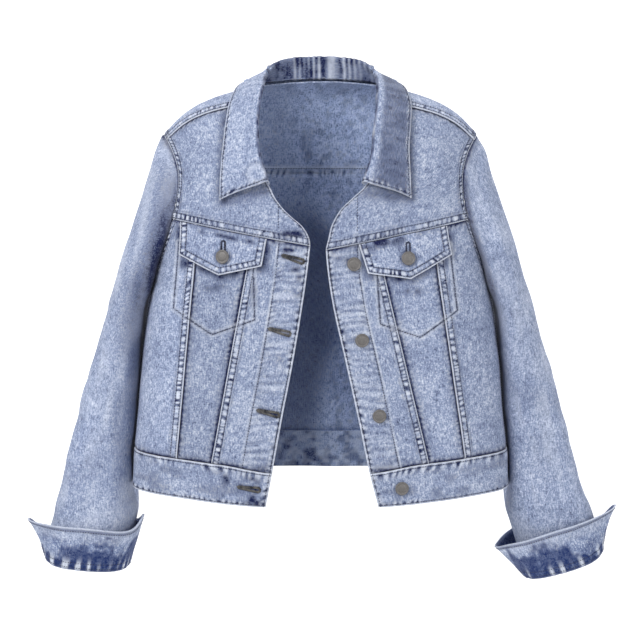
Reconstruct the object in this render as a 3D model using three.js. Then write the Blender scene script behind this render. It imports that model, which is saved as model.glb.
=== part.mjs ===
// A cropped denim jacket, hollow and open in front, made of its cut and sewn pieces.
// Units are millimetres. +X is the wearer's left, +Y is behind the wearer and +Z is up.
// The origin is the middle of the neck opening, level with the neck ends of the shoulders.
import * as THREE from "three";

// Cloth and seams
const CLOTH = 1.6; // one layer of washed denim
const SEAM = 0.4; // gap between two pieces that are sewn edge to edge
const HALF_SEAM = SEAM / 2;
const LAYER_GAP = 0.8; // gap to a second layer inside
const FACING = 1.4; // the second layer folded behind the front edge
const BAND = 2.8; // two layers of the waistband
const BAND_PROUD = 0.7; // how far the waistband stands out from the body panels
const FLAP = 2.2; // two layers of a pocket flap
const COLLAR = 2.0; // two layers of the collar
const CUFF = 2.6; // two layers of a turned-up cuff

// Heights of the main seams
const HEM_Z = -509;
const BAND_TOP_Z = -467;
const HEM_RISE = { front: 1.5, behind: 12 }; // the hem lies this much higher in front and behind
const BAND_TOP_RISE = 7; // the waistband is this much taller away from its front corners
const ARMPIT_Z = -240;
const BACK_YOKE_Z = -109;
const NECK_CORNER_Z = -114; // where the neckline meets the front edge

// Shoulders
const NECK_HALF = 87; // from the middle to the neck end of a shoulder
const SHOULDER_HALF = 196.5; // from the middle to the sleeve end of a shoulder
const NECK_RIDGE_Z = 8;
const SHOULDER_SLOPE = 0.27;
const SHOULDER_DROOP = 30.4; // extra fall of the outer end of a shoulder
const NECK_DIP = 4.7; // the back neckline lies this far below the ridge
const SEAM_DROP_NECK = 20; // the shoulder seam lies in front of the ridge
const SEAM_DROP_ARM = 12;

// Plan sections of the body: a rounded oblong of this power about the side seams
const SECTION_POWER = 2.5;
const SIDE_Y = -8;
const RIDGE_Y = 12;
const CHEST_REACH = 210; // drop in which the chest rounds over from the shoulder
const BACK_REACH = 110;

const BODY_WIDTH = [
  { z: -509, half: 240 },
  { z: -459, half: 238 },
  { z: -397, half: 232 },
  { z: -333, half: 226 },
  { z: -268, half: 217 },
  { z: -203, half: 205 },
  { z: -120, half: 202 },
  { z: 20, half: 201 },
];
const BODY_DEPTH = [
  { drop: 0, front: 127, back: 90 },
  { drop: 120, front: 127, back: 94 },
  { drop: 250, front: 130, back: 99 },
  { drop: 400, front: 125, back: 93 },
  { drop: 530, front: 121, back: 94 },
];
// Distance of the front edge and the front neckline from the middle, on each side
const FRONT_EDGE = [
  { z: -509, right: 68, left: 72 },
  { z: -467, right: 60, left: 61 },
  { z: -400, right: 48, left: 47 },
  { z: -325, right: 33.5, left: 30.5 },
  { z: -250, right: 21, left: 14 },
  { z: -190, right: 13, left: 6.5 },
  { z: -175, right: 13.5, left: 9.5 },
  { z: -160, right: 22, left: 13 },
  { z: -148, right: 36, left: 19 },
  { z: -138, right: 46, left: 26 },
  { z: -126, right: 55, left: 39 },
  { z: -114, right: 61, left: 52 },
  { z: -98, right: 71, left: 64 },
  { z: -70, right: 81, left: 75 },
  { z: -40, right: 86, left: 83 },
  { z: -12, right: 87, left: 86.5 },
  { z: 8, right: 87, left: 87 },
];
const ARMHOLE = [
  { z: -240, front: 212.4, back: 212.4 },
  { z: -232, front: 209.5, back: 210 },
  { z: -215, front: 203, back: 205 },
  { z: -185, front: 192.5, back: 196 },
  { z: -150, front: 181, back: 187 },
  { z: -122, front: 176, back: 184 },
  { z: -95, front: 176.5, back: 184 },
  { z: -72, front: 184, back: 188 },
  { z: -52, front: 196.5, back: 196.5 },
];
// Distance of the two upright front seams from the middle, at the yoke and at the waistband
const FRONT_SEAMS = {
  right: { innerTop: 83, innerFoot: 137.5, outerTop: 150.5, outerFoot: 180 },
  left: { innerTop: 67, innerFoot: 137.5, outerTop: 136.5, outerFoot: 182 },
};
const FRONT_SEAM_TOP_Z = -175;
const YOKE = {
  right: { edgeZ: -186, rise: 0.173 },
  left: { edgeZ: -190, rise: 0.19 },
};
const FACING_WIDTH = 40;
const FACING_TOP_Z = -90;

// Flaps and pocket bags, as corners given by distance from the middle and height
const FLAPS = {
  right: {
    top: { inner: 65, middle: 120, outer: 171 },
    foot: [{ x: 71, z: -208 }, { x: 122.5, z: -220 }, { x: 171, z: -197 }],
  },
  left: {
    top: { inner: 46, middle: 103, outer: 153.5 },
    foot: [{ x: 57, z: -216.5 }, { x: 108.5, z: -224.5 }, { x: 158, z: -196.5 }],
  },
};
const FLAP_GAP = 0.7; // gap between a flap and the panel under it
const FLAP_LIFT = 3.2;
const POCKETS = {
  right: {
    top: { inner: 82, middle: 128, outer: 174, z: -182 },
    foot: [{ x: 80, z: -274 }, { x: 133, z: -293 }, { x: 181, z: -263 }],
  },
  left: {
    top: { inner: 66, middle: 112, outer: 158, z: -184 },
    foot: [{ x: 73, z: -279 }, { x: 122, z: -296 }, { x: 168, z: -265 }],
  },
};

// Buttons: distance from the middle and height
const BUTTON_RADIUS = 8.5;
const FRONT_BUTTONS = [
  { name: "collar", x: 80, z: -100 },
  { name: "chest", x: 40.5, z: -205.5 },
  { name: "middle", x: 50.5, z: -298.5 },
  { name: "lower", x: 72, z: -392.5 },
];
const BAND_BUTTON = { x: 100, z: -483.5 };
const FLAP_BUTTONS = { right: { x: 117, z: -197.5 }, left: { x: 106, z: -199.5 } };

// Collar: the fold line, and the free edge as points on the body, from the back to the front end
const COLLAR_FRONT_SHIFT = -6; // both front ends lie this far towards the wearer's right
const COLLAR_FOLD_RADIUS = 3.4;
const COLLAR_SEAT = 2.6; // gap between the stand and the neckline
const COLLAR_REST = 4.2; // clearance of the free edge over the body
const COLLAR_LINES = [
  { at: 0, foldX: 0, foldY: 60, foldZ: 43.5, edgeX: 0, edgeRoot: -6.5 },
  { at: 0.2, foldX: 38, foldY: 55, foldZ: 41, edgeX: 50, edgeRoot: -6.1 },
  { at: 0.35, foldX: 60, foldY: 42, foldZ: 34, edgeX: 80, edgeRoot: -4.4 },
  { at: 0.5, foldX: 73, foldY: 8, foldZ: 22.5, edgeX: 102.5, edgeRoot: 0.8 },
  { at: 0.6, foldX: 76, foldY: -38, foldZ: 7, edgeX: 111, edgeRoot: 4.2 },
  { at: 0.7, foldX: 77, foldY: -63, foldZ: -14, edgeX: 112.5, edgeRoot: 6.5 },
  { at: 0.8, foldX: 76, foldY: -84, foldZ: -42, edgeX: 113, edgeRoot: 8.4 },
  { at: 0.9, foldX: 73, foldY: -101, foldZ: -74, edgeX: 114.5, edgeRoot: 10.1 },
  { at: 1, foldX: 61.5, foldY: -113, foldZ: -108, edgeX: 115.5, edgeRoot: 11.4 },
];

// Sleeves: outer and inner line of each section, its middle depth and its half depth
const SLEEVE = [
  { at: 0, outX: 196.5, outZ: -52, inX: 212.4, inZ: -240, midY: -5, depth: 52 },
  { at: 0.08, outX: 213, outZ: -92, inX: 216, inZ: -252, midY: 0, depth: 59 },
  { at: 0.17, outX: 229, outZ: -138, inX: 219, inZ: -268, midY: 4, depth: 64 },
  { at: 0.29, outX: 250, outZ: -200, inX: 222, inZ: -293, midY: 7, depth: 66 },
  { at: 0.44, outX: 273, outZ: -278, inX: 225, inZ: -331, midY: 9, depth: 64 },
  { at: 0.58, outX: 296.5, outZ: -356, inX: 229, inZ: -384, midY: 11, depth: 59 },
  { at: 0.72, outX: 318, outZ: -435, inX: 232, inZ: -449, midY: 13, depth: 52 },
  { at: 0.88, outX: 343, outZ: -529, inX: 238, inZ: -540, midY: 15, depth: 45 },
  { at: 1, outX: 355, outZ: -600, inX: 253, inZ: -609, midY: 16, depth: 42 },
];
const LEFT_CUFF_SHIFT = { outX: 9, outZ: 9, inX: 14, inZ: -12 }; // the left cuff hangs more askew
const LEFT_CUFF_FROM = 0.8;
const END_FROM = 0.84; // the rise of the fold starts at this share of the sleeve
const SLEEVE_CLEAR = 2.5; // clearance of a sleeve beside the body
const SLEEVE_TOUCH = 0.012; // how softly a sleeve bends away from the body
const SLEEVE_START = 0.9; // clearance between a sleeve and the armhole edge

// Turned-up cuff: its section round the end of the sleeve, and how its ends stand up
const CUFF_SECTION = [
  { out: -1.6, up: -0.5 },
  { out: -1.4, up: -3.2 },
  { out: 1.6, up: -4.2 },
  { out: 4.4, up: -2.6 },
  { out: 5.6, up: 4 },
  { out: 7.2, up: 18 },
  { out: 9.8, up: 36 },
  { out: 12.5, up: 52 },
  { out: 9.9, up: 52.6 },
  { out: 7.2, up: 36.4 },
  { out: 4.6, up: 18.6 },
  { out: 3.0, up: 4.6 },
  { out: 2.2, up: -0.5 },
];
const CUFF_HEIGHT = 52;
// The two ends of a sleeve: the rise of the fold, the rise of the cuff's upper edge above its
// middle, and how far its tip reaches out
const SLEEVE_ENDS = {
  right: { outer: { foot: 8, wing: -4, tip: 19 }, inner: { foot: 2, wing: 18, tip: 3 } },
  left: { outer: { foot: 9, wing: -2, tip: 25 }, inner: { foot: 0, wing: -4, tip: 12 } },
};
const CUFF_NEAR_RISE = 5; // the upper edge stands this much higher at the middle of the front
const CUFF_FAR_DROP = 18; // the upper edge sinks this far behind the outer tip

// Soft folds: place, direction, reach along and across, and height out of the cloth
const BODY_FOLDS = [
  { x: -165, z: -120, lean: 0.35, along: 70, across: 13, rise: 4.5, back: false },
  { x: 160, z: -112, lean: -0.4, along: 65, across: 13, rise: 4.5, back: false },
  { x: -60, z: -330, lean: 0.05, along: 150, across: 22, rise: -3.0, back: false },
  { x: 100, z: -170, lean: 0.12, along: 60, across: 15, rise: -4.0, back: false },
  { x: 160, z: -360, lean: -0.08, along: 120, across: 20, rise: 4.0, back: false },
  { x: -200, z: -400, lean: 0.1, along: 110, across: 24, rise: 4.0, back: false },
  { x: -95, z: -330, lean: 0.1, along: 170, across: 28, rise: 6.0, back: true },
  { x: 10, z: -420, lean: -0.04, along: 120, across: 24, rise: -5.0, back: true },
  { x: 110, z: -300, lean: -0.12, along: 160, across: 26, rise: 6.5, back: true },
  { x: -160, z: -170, lean: 0.6, along: 80, across: 18, rise: 5.0, back: true },
  { x: 165, z: -185, lean: -0.55, along: 90, across: 16, rise: 5.0, back: true },
];
// On a sleeve: share of its length, turn from the outer line through the front, and lean
const SLEEVE_FOLDS = [
  { at: 0.2, turn: 1.1, lean: 1.6, along: 0.12, across: 0.28, rise: 4.5 },
  { at: 0.46, turn: 2.3, lean: -3.0, along: 0.1, across: 0.3, rise: -5.0 },
  { at: 0.54, turn: 2.0, lean: -3.4, along: 0.11, across: 0.26, rise: 5.0 },
  { at: 0.66, turn: 1.2, lean: 2.2, along: 0.14, across: 0.3, rise: -3.5 },
  { at: 0.8, turn: 0.7, lean: 0.8, along: 0.12, across: 0.34, rise: 4.0 },
  { at: 0.5, turn: 4.4, lean: 3.0, along: 0.12, across: 0.3, rise: 5.0 },
  { at: 0.62, turn: 4.7, lean: -2.6, along: 0.12, across: 0.28, rise: -5.0 },
  { at: 0.3, turn: 5.2, lean: -1.5, along: 0.14, across: 0.3, rise: 4.5 },
];

const { PI } = Math;
const clamp = (value, low, high) => Math.min(high, Math.max(low, value));
const mix = (from, to, share) => from + (to - from) * share;
const smooth = (share) => {
  const t = clamp(share, 0, 1);
  return t * t * (3 - 2 * t);
};
const steps = (count) => Array.from({ length: count + 1 }, (_, i) => i / count);
const vector = (x, y, z) => new THREE.Vector3(x, y, z);

// A smooth curve through one column of a table, whose rows rise in the key column.
function column(rows, key, name) {
  const xs = rows.map((row) => row[key]);
  const ys = rows.map((row) => row[name]);
  const last = rows.length - 1;
  const slope = (i) => {
    const before = Math.max(0, i - 1);
    const after = Math.min(last, i + 1);
    return (ys[after] - ys[before]) / (xs[after] - xs[before]);
  };
  return (x) => {
    let i = 0;
    while (i < last - 1 && x > xs[i + 1]) i++;
    const width = xs[i + 1] - xs[i];
    const t = clamp((x - xs[i]) / width, 0, 1);
    const rise = t * t * (3 - 2 * t);
    const leave = t * (1 - t) * (1 - t) * width * slope(i);
    const arrive = t * t * (t - 1) * width * slope(i + 1);
    return mix(ys[i], ys[i + 1], rise) + leave + arrive;
  };
}

const halfWidth = column(BODY_WIDTH, "z", "half");
const frontDepth = column(BODY_DEPTH, "drop", "front");
const backDepth = column(BODY_DEPTH, "drop", "back");
const frontEdge = { right: column(FRONT_EDGE, "z", "right"), left: column(FRONT_EDGE, "z", "left") };
const armhole = { front: column(ARMHOLE, "z", "front"), back: column(ARMHOLE, "z", "back") };

// Height of the shoulder ridge: a low arch between the neck ends, then a slope that droops outwards.
function ridgeZ(x) {
  const beyond = Math.abs(x) - NECK_HALF;
  if (beyond < 0) {
    const arch = (SHOULDER_SLOPE * NECK_HALF) / 2;
    return NECK_RIDGE_Z + arch * (1 - (x / NECK_HALF) ** 2);
  }
  const droop = SHOULDER_DROOP * (beyond / (SHOULDER_HALF - NECK_HALF)) ** 4;
  return NECK_RIDGE_Z - SHOULDER_SLOPE * beyond - droop;
}

// Share of the full depth at a drop below the ridge: a quarter of a rounded oblong.
function roundOver(drop, reach, power) {
  const left = clamp(1 - drop / reach, 0, 1);
  return (1 - left ** power) ** (1 / power);
}

const frontY = (drop) => RIDGE_Y - frontDepth(drop) * roundOver(drop, CHEST_REACH, 2);
const backY = (drop) => RIDGE_Y + backDepth(drop) * roundOver(drop, BACK_REACH, 3);

// A fold's height at a distance along and across it.
const foldShape = (fold, along, across) =>
  fold.rise * Math.exp(-((along / fold.along) ** 2) - (across / fold.across) ** 2);

function bodyFold(x, z, isBack) {
  let height = 0;
  for (const fold of BODY_FOLDS) {
    if (fold.back !== isBack) continue;
    const down = z - fold.z;
    height += foldShape(fold, down, x - fold.x - fold.lean * down);
  }
  return height;
}

// A point of the body at a distance from the middle and a drop below the ridge.
function bodyAt(x, drop, isBack) {
  const z = ridgeZ(x) - drop;
  const share = clamp(Math.abs(x) / halfWidth(z), 0, 1);
  const round = (1 - share ** SECTION_POWER) ** (1 / SECTION_POWER);
  const full = isBack ? backY(drop) : frontY(drop);
  const fold = bodyFold(x, z, isBack) * smooth(drop / 60) * smooth((round - 0.1) / 0.4);
  return vector(x, mix(SIDE_Y, full + (isBack ? fold : -fold), round), z);
}

// The same by angle round the body: 0 is the middle of the front, a quarter turn the left side seam.
function bodyTurn(angle, z) {
  const x = halfWidth(z) * Math.sin(angle);
  return bodyAt(x, ridgeZ(x) - z, Math.cos(angle) < 0);
}

const frontAngle = (x, z) => Math.asin(clamp(x / halfWidth(z), -1, 1));
const backAngle = (x, z) => PI - frontAngle(x, z);

// A point over the shoulder: root is the square root of the drop, negative behind the ridge.
const shoulderAt = (x, root) => bodyAt(x, root * root, root < 0);

// Outward direction of a surface of two parameters, from short steps along both.
function normalOf(surface, u, v, step = 1e-3) {
  const alongU = surface(u + step, v).sub(surface(u - step, v));
  const alongV = surface(u, v + step).sub(surface(u, v - step));
  return alongU.cross(alongV).normalize();
}

// Outward direction of the body at a place given as for shoulderAt.
const bodyOutward = (x, root) => normalOf(shoulderAt, x, root, 0.05).negate();

// A wall: the outer face lies outset from the surface, and the inner face is a thickness below it.
function wall(surface, across, up, thickness = CLOTH, outset = () => 0) {
  return {
    across,
    up,
    at(u, v) {
      const point = surface(u, v);
      const normal = normalOf(surface, u, v);
      const out = outset(u, v);
      return [
        point.clone().addScaledVector(normal, out),
        point.clone().addScaledVector(normal, out - thickness),
      ];
    },
  };
}

// Joins walls that share border points into one closed solid, with an edge strip round its border.
function solidFrom(walls) {
  const outer = [];
  const inner = [];
  const known = new Map();
  const triangles = [];
  const vertexId = ([outside, inside]) => {
    const key = outside.toArray().map((c) => Math.round(c * 200)).join();
    if (!known.has(key)) {
      known.set(key, outer.length);
      outer.push(outside);
      inner.push(inside);
    }
    return known.get(key);
  };
  const face = (a, b, c) => {
    if (a !== b && b !== c && a !== c) triangles.push([a, b, c]);
  };
  for (const { across, up, at } of walls) {
    const ids = up.map((v) => across.map((u) => vertexId(at(u, v))));
    for (let j = 0; j + 1 < up.length; j++) {
      for (let i = 0; i + 1 < across.length; i++) {
        const [a, b] = [ids[j][i], ids[j][i + 1]];
        const [d, c] = [ids[j + 1][i], ids[j + 1][i + 1]];
        face(a, b, c);
        face(a, c, d);
      }
    }
  }
  const count = outer.length;
  const edges = new Set(triangles.flatMap(([a, b, c]) => [`${a},${b}`, `${b},${c}`, `${c},${a}`]));
  const all = [];
  for (const [a, b, c] of triangles) all.push([a, b, c], [a + count, c + count, b + count]);
  for (const edge of edges) {
    const [a, b] = edge.split(",").map(Number);
    if (!edges.has(`${b},${a}`)) all.push([b, a, a + count], [b, a + count, b + count]);
  }
  const geometry = new THREE.BufferGeometry();
  const places = [...outer, ...inner].flatMap((p) => p.toArray());
  geometry.setAttribute("position", new THREE.Float32BufferAttribute(places, 3));
  geometry.setIndex(all.flat());
  geometry.computeVertexNormals();
  return geometry;
}

const sign = { right: -1, left: 1 };

// Part of the body between two upright lines and two level ones, on one side of the front or back.
function bodyPiece(from, to, bottom, top) {
  return (u, v) => {
    let z = mix(bottom(0), top(0), v);
    for (let pass = 0; pass < 14; pass++) {
      const turn = mix(from(z), to(z), u);
      const x = halfWidth(z) * Math.sin(turn);
      const isBack = Math.cos(turn) < 0;
      z = mix(z, mix(bottom(x, isBack), top(x, isBack), v), 0.55);
    }
    return bodyTurn(mix(from(z), to(z), u), z);
  };
}

// A front piece between two distances from the middle, turned so that the angle always rises.
function frontPiece(side, innerX, outerX, bottom, top) {
  const inside = (z) => frontAngle(sign[side] * innerX(z), z);
  const outside = (z) => frontAngle(sign[side] * outerX(z), z);
  return side === "left"
    ? bodyPiece(inside, outside, bottom, top)
    : bodyPiece(outside, inside, bottom, top);
}

const hemRise = (x, isBack) =>
  isBack ? HEM_RISE.behind : mix(HEM_RISE.front, HEM_RISE.behind, smooth((Math.abs(x) - 60) / 170));
const hemZ = (x, isBack) => HEM_Z + hemRise(x, isBack);
const bandTopZ = (x, isBack) =>
  BAND_TOP_Z + hemRise(x, isBack) + BAND_TOP_RISE * (isBack ? 1 : smooth((Math.abs(x) - 50) / 75));
const panelFootZ = (x) => bandTopZ(x, false) + HALF_SEAM;
const yokeSeamZ = (side, x) => YOKE[side].edgeZ + YOKE[side].rise * Math.abs(x);
const shoulderSeamDrop = (x) => {
  const share = (Math.abs(x) - NECK_HALF) / (SHOULDER_HALF - NECK_HALF);
  return mix(SEAM_DROP_NECK, SEAM_DROP_ARM, clamp(share, 0, 1));
};
const uprightSeam = (side, name) => (z) => {
  const line = FRONT_SEAMS[side];
  const share = (z - BAND_TOP_Z) / (FRONT_SEAM_TOP_Z - BAND_TOP_Z);
  return mix(line[`${name}Foot`], line[`${name}Top`], share);
};
// The outer border of a body piece: the side seam, and above the armpit the armhole.
const sideOrArmhole = (face) => (z) =>
  z <= ARMPIT_Z ? halfWidth(z) : Math.min(halfWidth(z), armhole[face](z));
const sideSeamGap = (z) => (z <= ARMPIT_Z ? HALF_SEAM / halfWidth(z) : 0);

function frontYoke(side) {
  const surface = frontPiece(
    side,
    frontEdge[side],
    armhole.front,
    (x) => yokeSeamZ(side, x) + HALF_SEAM,
    (x) => ridgeZ(x) - shoulderSeamDrop(x) - HALF_SEAM,
  );
  return solidFrom([wall(surface, steps(9), steps(11))]);
}

function frontPanel(side, innerX, outerX, count) {
  const surface = frontPiece(
    side,
    innerX,
    outerX,
    panelFootZ,
    (x) => yokeSeamZ(side, x) - HALF_SEAM,
  );
  return solidFrom([wall(surface, steps(count), steps(11))]);
}

const centreFront = (side) =>
  frontPanel(side, frontEdge[side], (z) => uprightSeam(side, "inner")(z) - HALF_SEAM, 5);
const middleFront = (side) =>
  frontPanel(
    side,
    (z) => uprightSeam(side, "inner")(z) + HALF_SEAM,
    (z) => uprightSeam(side, "outer")(z) - HALF_SEAM,
    5,
  );

// The side panel ends at the side seam, so its border is an angle just short of a quarter turn.
function sideFront(side) {
  const inner = uprightSeam(side, "outer");
  const outer = sideOrArmhole("front");
  const near = (z) => sign[side] * frontAngle(inner(z) + HALF_SEAM, z);
  const far = (z) => sign[side] * (frontAngle(outer(z), z) - sideSeamGap(z));
  const [from, to] = side === "left" ? [near, far] : [far, near];
  const top = (x) => yokeSeamZ(side, x) - HALF_SEAM;
  return solidFrom([wall(bodyPiece(from, to, panelFootZ, top), steps(6), steps(13))]);
}

// The second layer behind the front edge, from the waistband to the neckline.
function frontFacing(side) {
  const edge = frontEdge[side];
  const foldX = edge(-190) + FACING_WIDTH;
  const endX = edge(FACING_TOP_Z) + 3;
  const inner = (z) => {
    const share = (z + 190) / (FACING_TOP_Z + 190);
    return share < 0 ? edge(z) + FACING_WIDTH : mix(foldX, endX, share);
  };
  const surface = frontPiece(
    side,
    (z) => edge(z) + 0.6,
    inner,
    panelFootZ,
    () => FACING_TOP_Z,
  );
  return solidFrom([wall(surface, steps(3), steps(18), FACING, () => -CLOTH - LAYER_GAP)]);
}

// A five-cornered patch: two four-cornered halves that meet on the line to its point.
function pointedPatch(side, corners, topZ, outset, thickness) {
  const { top, foot } = corners;
  const upper = [top.inner, top.middle, top.outer];
  const half = (k) => (u, v) => {
    const upperX = mix(upper[k], upper[k + 1], u);
    const lowerX = mix(foot[k].x, foot[k + 1].x, u);
    const x = sign[side] * mix(lowerX, upperX, v);
    const lowerZ = mix(foot[k].z, foot[k + 1].z, u);
    return bodyTurn(frontAngle(x, mix(lowerZ, topZ(x), v)), mix(lowerZ, topZ(x), v));
  };
  const turned = (surface) => (side === "left" ? surface : (u, v) => surface(1 - u, v));
  return solidFrom(
    [0, 1].map((k) => wall(turned(half(k)), steps(4), steps(4), thickness, outset)),
  );
}

const flapLift = (u, v) => FLAP_GAP + FLAP + FLAP_LIFT * (1 - v) ** 1.5;
const pocketFlap = (side) =>
  pointedPatch(side, FLAPS[side], (x) => yokeSeamZ(side, x) - 0.6, flapLift, FLAP);
const pocketBag = (side) =>
  pointedPatch(side, POCKETS[side], () => POCKETS[side].top.z, () => -CLOTH - LAYER_GAP, CLOTH);

// The back yoke runs from its straight seam up to the neckline, and over both shoulders.
function backYoke() {
  const seamRoot = (x) => -Math.sqrt(ridgeZ(x) - BACK_YOKE_Z - HALF_SEAM);
  const neckRoot = (x) => -Math.sqrt(NECK_DIP * Math.max(0, 1 - (x / NECK_HALF) ** 2));
  const middle = (u, v) => {
    const x = mix(NECK_HALF, -NECK_HALF, u);
    return shoulderAt(x, mix(seamRoot(x), neckRoot(x), v));
  };
  const reachX = (root, x) => armhole[root < 0 ? "back" : "front"](ridgeZ(x) - root * root);
  const wing = (side, rootFrom, rootTo) => (u, v) => {
    let x = NECK_HALF;
    let root = 0;
    for (let pass = 0; pass < 12; pass++) {
      root = mix(rootFrom(x), rootTo(x), v);
      x = mix(x, mix(NECK_HALF, reachX(root, x), u), 0.7);
    }
    return shoulderAt(sign[side] * x, root);
  };
  const frontRoot = (x) => Math.sqrt(shoulderSeamDrop(x) - HALF_SEAM);
  const zero = () => 0;
  const walls = [wall(middle, steps(12), steps(6))];
  for (const side of ["right", "left"]) {
    const turned = (surface) => (side === "right" ? surface : (u, v) => surface(1 - u, v));
    walls.push(wall(turned(wing(side, seamRoot, zero)), steps(7), steps(6)));
    walls.push(wall(turned(wing(side, zero, frontRoot)), steps(7), steps(3)));
  }
  return solidFrom(walls);
}

function backPanel() {
  const outer = sideOrArmhole("back");
  const edge = (z) => frontAngle(outer(z), z) - sideSeamGap(z);
  const surface = bodyPiece(
    (z) => PI - edge(z),
    (z) => PI + edge(z),
    () => bandTopZ(0, true) + HALF_SEAM,
    () => BACK_YOKE_Z - HALF_SEAM,
  );
  return solidFrom([wall(surface, steps(28), steps(12))]);
}

function waistband() {
  const surface = bodyPiece(
    (z) => frontAngle(frontEdge.left(z), z),
    (z) => 2 * PI - frontAngle(frontEdge.right(z), z),
    hemZ,
    (x, isBack) => bandTopZ(x, isBack) - HALF_SEAM,
  );
  return solidFrom([wall(surface, steps(54), steps(2), BAND, () => BAND_PROUD)]);
}

// The neckline of one side, from the middle of the back to the front edge.
function necklineAt(side, at) {
  if (at < 0.5) {
    const x = NECK_HALF * Math.sin(PI * at);
    const dip = NECK_DIP * (1 - (x / NECK_HALF) ** 2);
    return shoulderAt(sign[side] * x, -Math.sqrt(dip));
  }
  const z = mix(NECK_RIDGE_Z, NECK_CORNER_Z, (2 * at - 1) ** 1.2);
  const x = sign[side] * frontEdge[side](z);
  return bodyAt(x, Math.max(0, ridgeZ(x) - z), false);
}

// The collar's section at one station: up the stand, round the fold and down the fall.
const collarLine = Object.fromEntries(
  ["foldX", "foldY", "foldZ", "edgeX", "edgeRoot"].map((name) => [
    name,
    column(COLLAR_LINES, "at", name),
  ]),
);
function collarSection(side, at) {
  const shift = COLLAR_FRONT_SHIFT * smooth((at - 0.55) / 0.3);
  const seam = necklineAt(side, at);
  const fold = vector(
    sign[side] * collarLine.foldX(at) + shift,
    collarLine.foldY(at),
    collarLine.foldZ(at),
  );
  const edgeX = sign[side] * collarLine.edgeX(at) + shift;
  const edge = shoulderAt(edgeX, collarLine.edgeRoot(at));
  edge.addScaledVector(bodyOutward(edgeX, collarLine.edgeRoot(at)), COLLAR_REST);
  seam.addScaledVector(bodyOutward(seam.x, neckRootOf(seam)), COLLAR_SEAT);
  const out = edge.clone().sub(fold).normalize();
  const up = fold.clone().sub(seam).normalize();
  const r = COLLAR_FOLD_RADIUS;
  const turn = up.clone().addScaledVector(out, -up.dot(out)).normalize();
  const place = (base, along, high) =>
    base.clone().addScaledVector(out, along).addScaledVector(turn, high);
  const fall = (share, raise) => fold.clone().lerp(edge, share).addScaledVector(turn, raise);
  return new THREE.CatmullRomCurve3(
    [
      seam,
      seam.clone().lerp(fold, 0.45).addScaledVector(out, -0.8),
      place(fold, -r, -r),
      place(fold, -0.7 * r, -0.3 * r),
      place(fold, 0, 0),
      place(fold, 1.1 * r, -0.1 * r),
      fall(0.3, 0.6),
      fall(0.65, 1.6),
      edge,
    ],
    false,
    "centripetal",
  );
}
function neckRootOf(point) {
  const drop = Math.max(0.02, ridgeZ(point.x) - point.z);
  return point.y > RIDGE_Y - 2 ? -Math.sqrt(drop) : Math.sqrt(drop);
}

const collarAcross = [0, 0.1, 0.22, 0.3, 0.36, 0.42, 0.5, 0.6, 0.75, 0.88, 1];
function collar() {
  const cache = new Map();
  const sectionAt = (along) => {
    const key = along.toFixed(6);
    if (!cache.has(key)) {
      const side = along < 0.5 ? "right" : "left";
      cache.set(key, collarSection(side, Math.abs(2 * along - 1)));
    }
    return cache.get(key);
  };
  const surface = (u, v) => sectionAt(clamp(v, 0, 1)).getPoint(clamp(u, 0, 1));
  return solidFrom([wall(surface, collarAcross, steps(38), COLLAR)]);
}

// Sleeves
const sleeveLine = Object.fromEntries(
  ["outX", "outZ", "inX", "inZ", "midY", "depth"].map((name) => [
    name,
    column(SLEEVE, "at", name),
  ]),
);

// Moves a point that lies in or near the body out to just clear of its side.
function clearOfBody(point) {
  const reach = smooth((ARMPIT_Z + 2 - point.z) / 16);
  if (reach === 0 || point.z < HEM_Z - 30) return point;
  const drop = ridgeZ(point.x) - point.z;
  const full = Math.abs((point.y < SIDE_Y ? frontY(drop) : backY(drop)) - SIDE_Y);
  const wide = halfWidth(Math.max(point.z, HEM_Z)) + SLEEVE_CLEAR;
  const share =
    (Math.abs(point.x) / wide) ** SECTION_POWER +
    (Math.abs(point.y - SIDE_Y) / (full + SLEEVE_CLEAR)) ** SECTION_POWER;
  const push = share ** (-1 / SECTION_POWER) - 1;
  const soft = (push + Math.hypot(push, SLEEVE_TOUCH)) / 2;
  const grow = 1 + soft * reach * smooth((point.z - HEM_Z + 30) / 30);
  return vector(point.x * grow, SIDE_Y + (point.y - SIDE_Y) * grow, point.z);
}

// The armhole edge by turn: 0 at the shoulder, a quarter turn at the front, a half at the armpit.
function armholeAt(turn) {
  const shoulderZ = ARMHOLE[ARMHOLE.length - 1].z;
  const z = mix(ARMPIT_Z, shoulderZ, (1 + Math.cos(turn)) / 2);
  const isBack = Math.sin(turn) < 0;
  const x = armhole[isBack ? "back" : "front"](z);
  return bodyAt(x, Math.max(0, ridgeZ(x) - z), isBack).add(vector(SLEEVE_START, 0, 0));
}

const sleeveEnd = (side, turn) => SLEEVE_ENDS[side][Math.cos(turn) > 0 ? "outer" : "inner"];

// The oblong of one sleeve section, for the left arm.
function sleeveSection(side, at, turn) {
  const line = Object.fromEntries(
    Object.entries(sleeveLine).map(([name, value]) => [name, value(at)]),
  );
  if (side === "left") {
    const share = smooth((at - LEFT_CUFF_FROM) / (1 - LEFT_CUFF_FROM));
    for (const [name, amount] of Object.entries(LEFT_CUFF_SHIFT)) line[name] += amount * share;
  }
  const middle = vector((line.outX + line.inX) / 2, line.midY, (line.outZ + line.inZ) / 2);
  const arm = vector(line.outX, line.midY, line.outZ).sub(middle);
  const bulge = 1 + 0.06 * Math.sin(2 * turn) ** 2;
  const rise = sleeveEnd(side, turn).foot * smooth((at - END_FROM) / (1 - END_FROM));
  return middle
    .addScaledVector(arm, Math.cos(turn) * bulge)
    .add(vector(0, -line.depth * Math.sin(turn) * bulge, rise * Math.cos(turn) ** 6));
}

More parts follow.
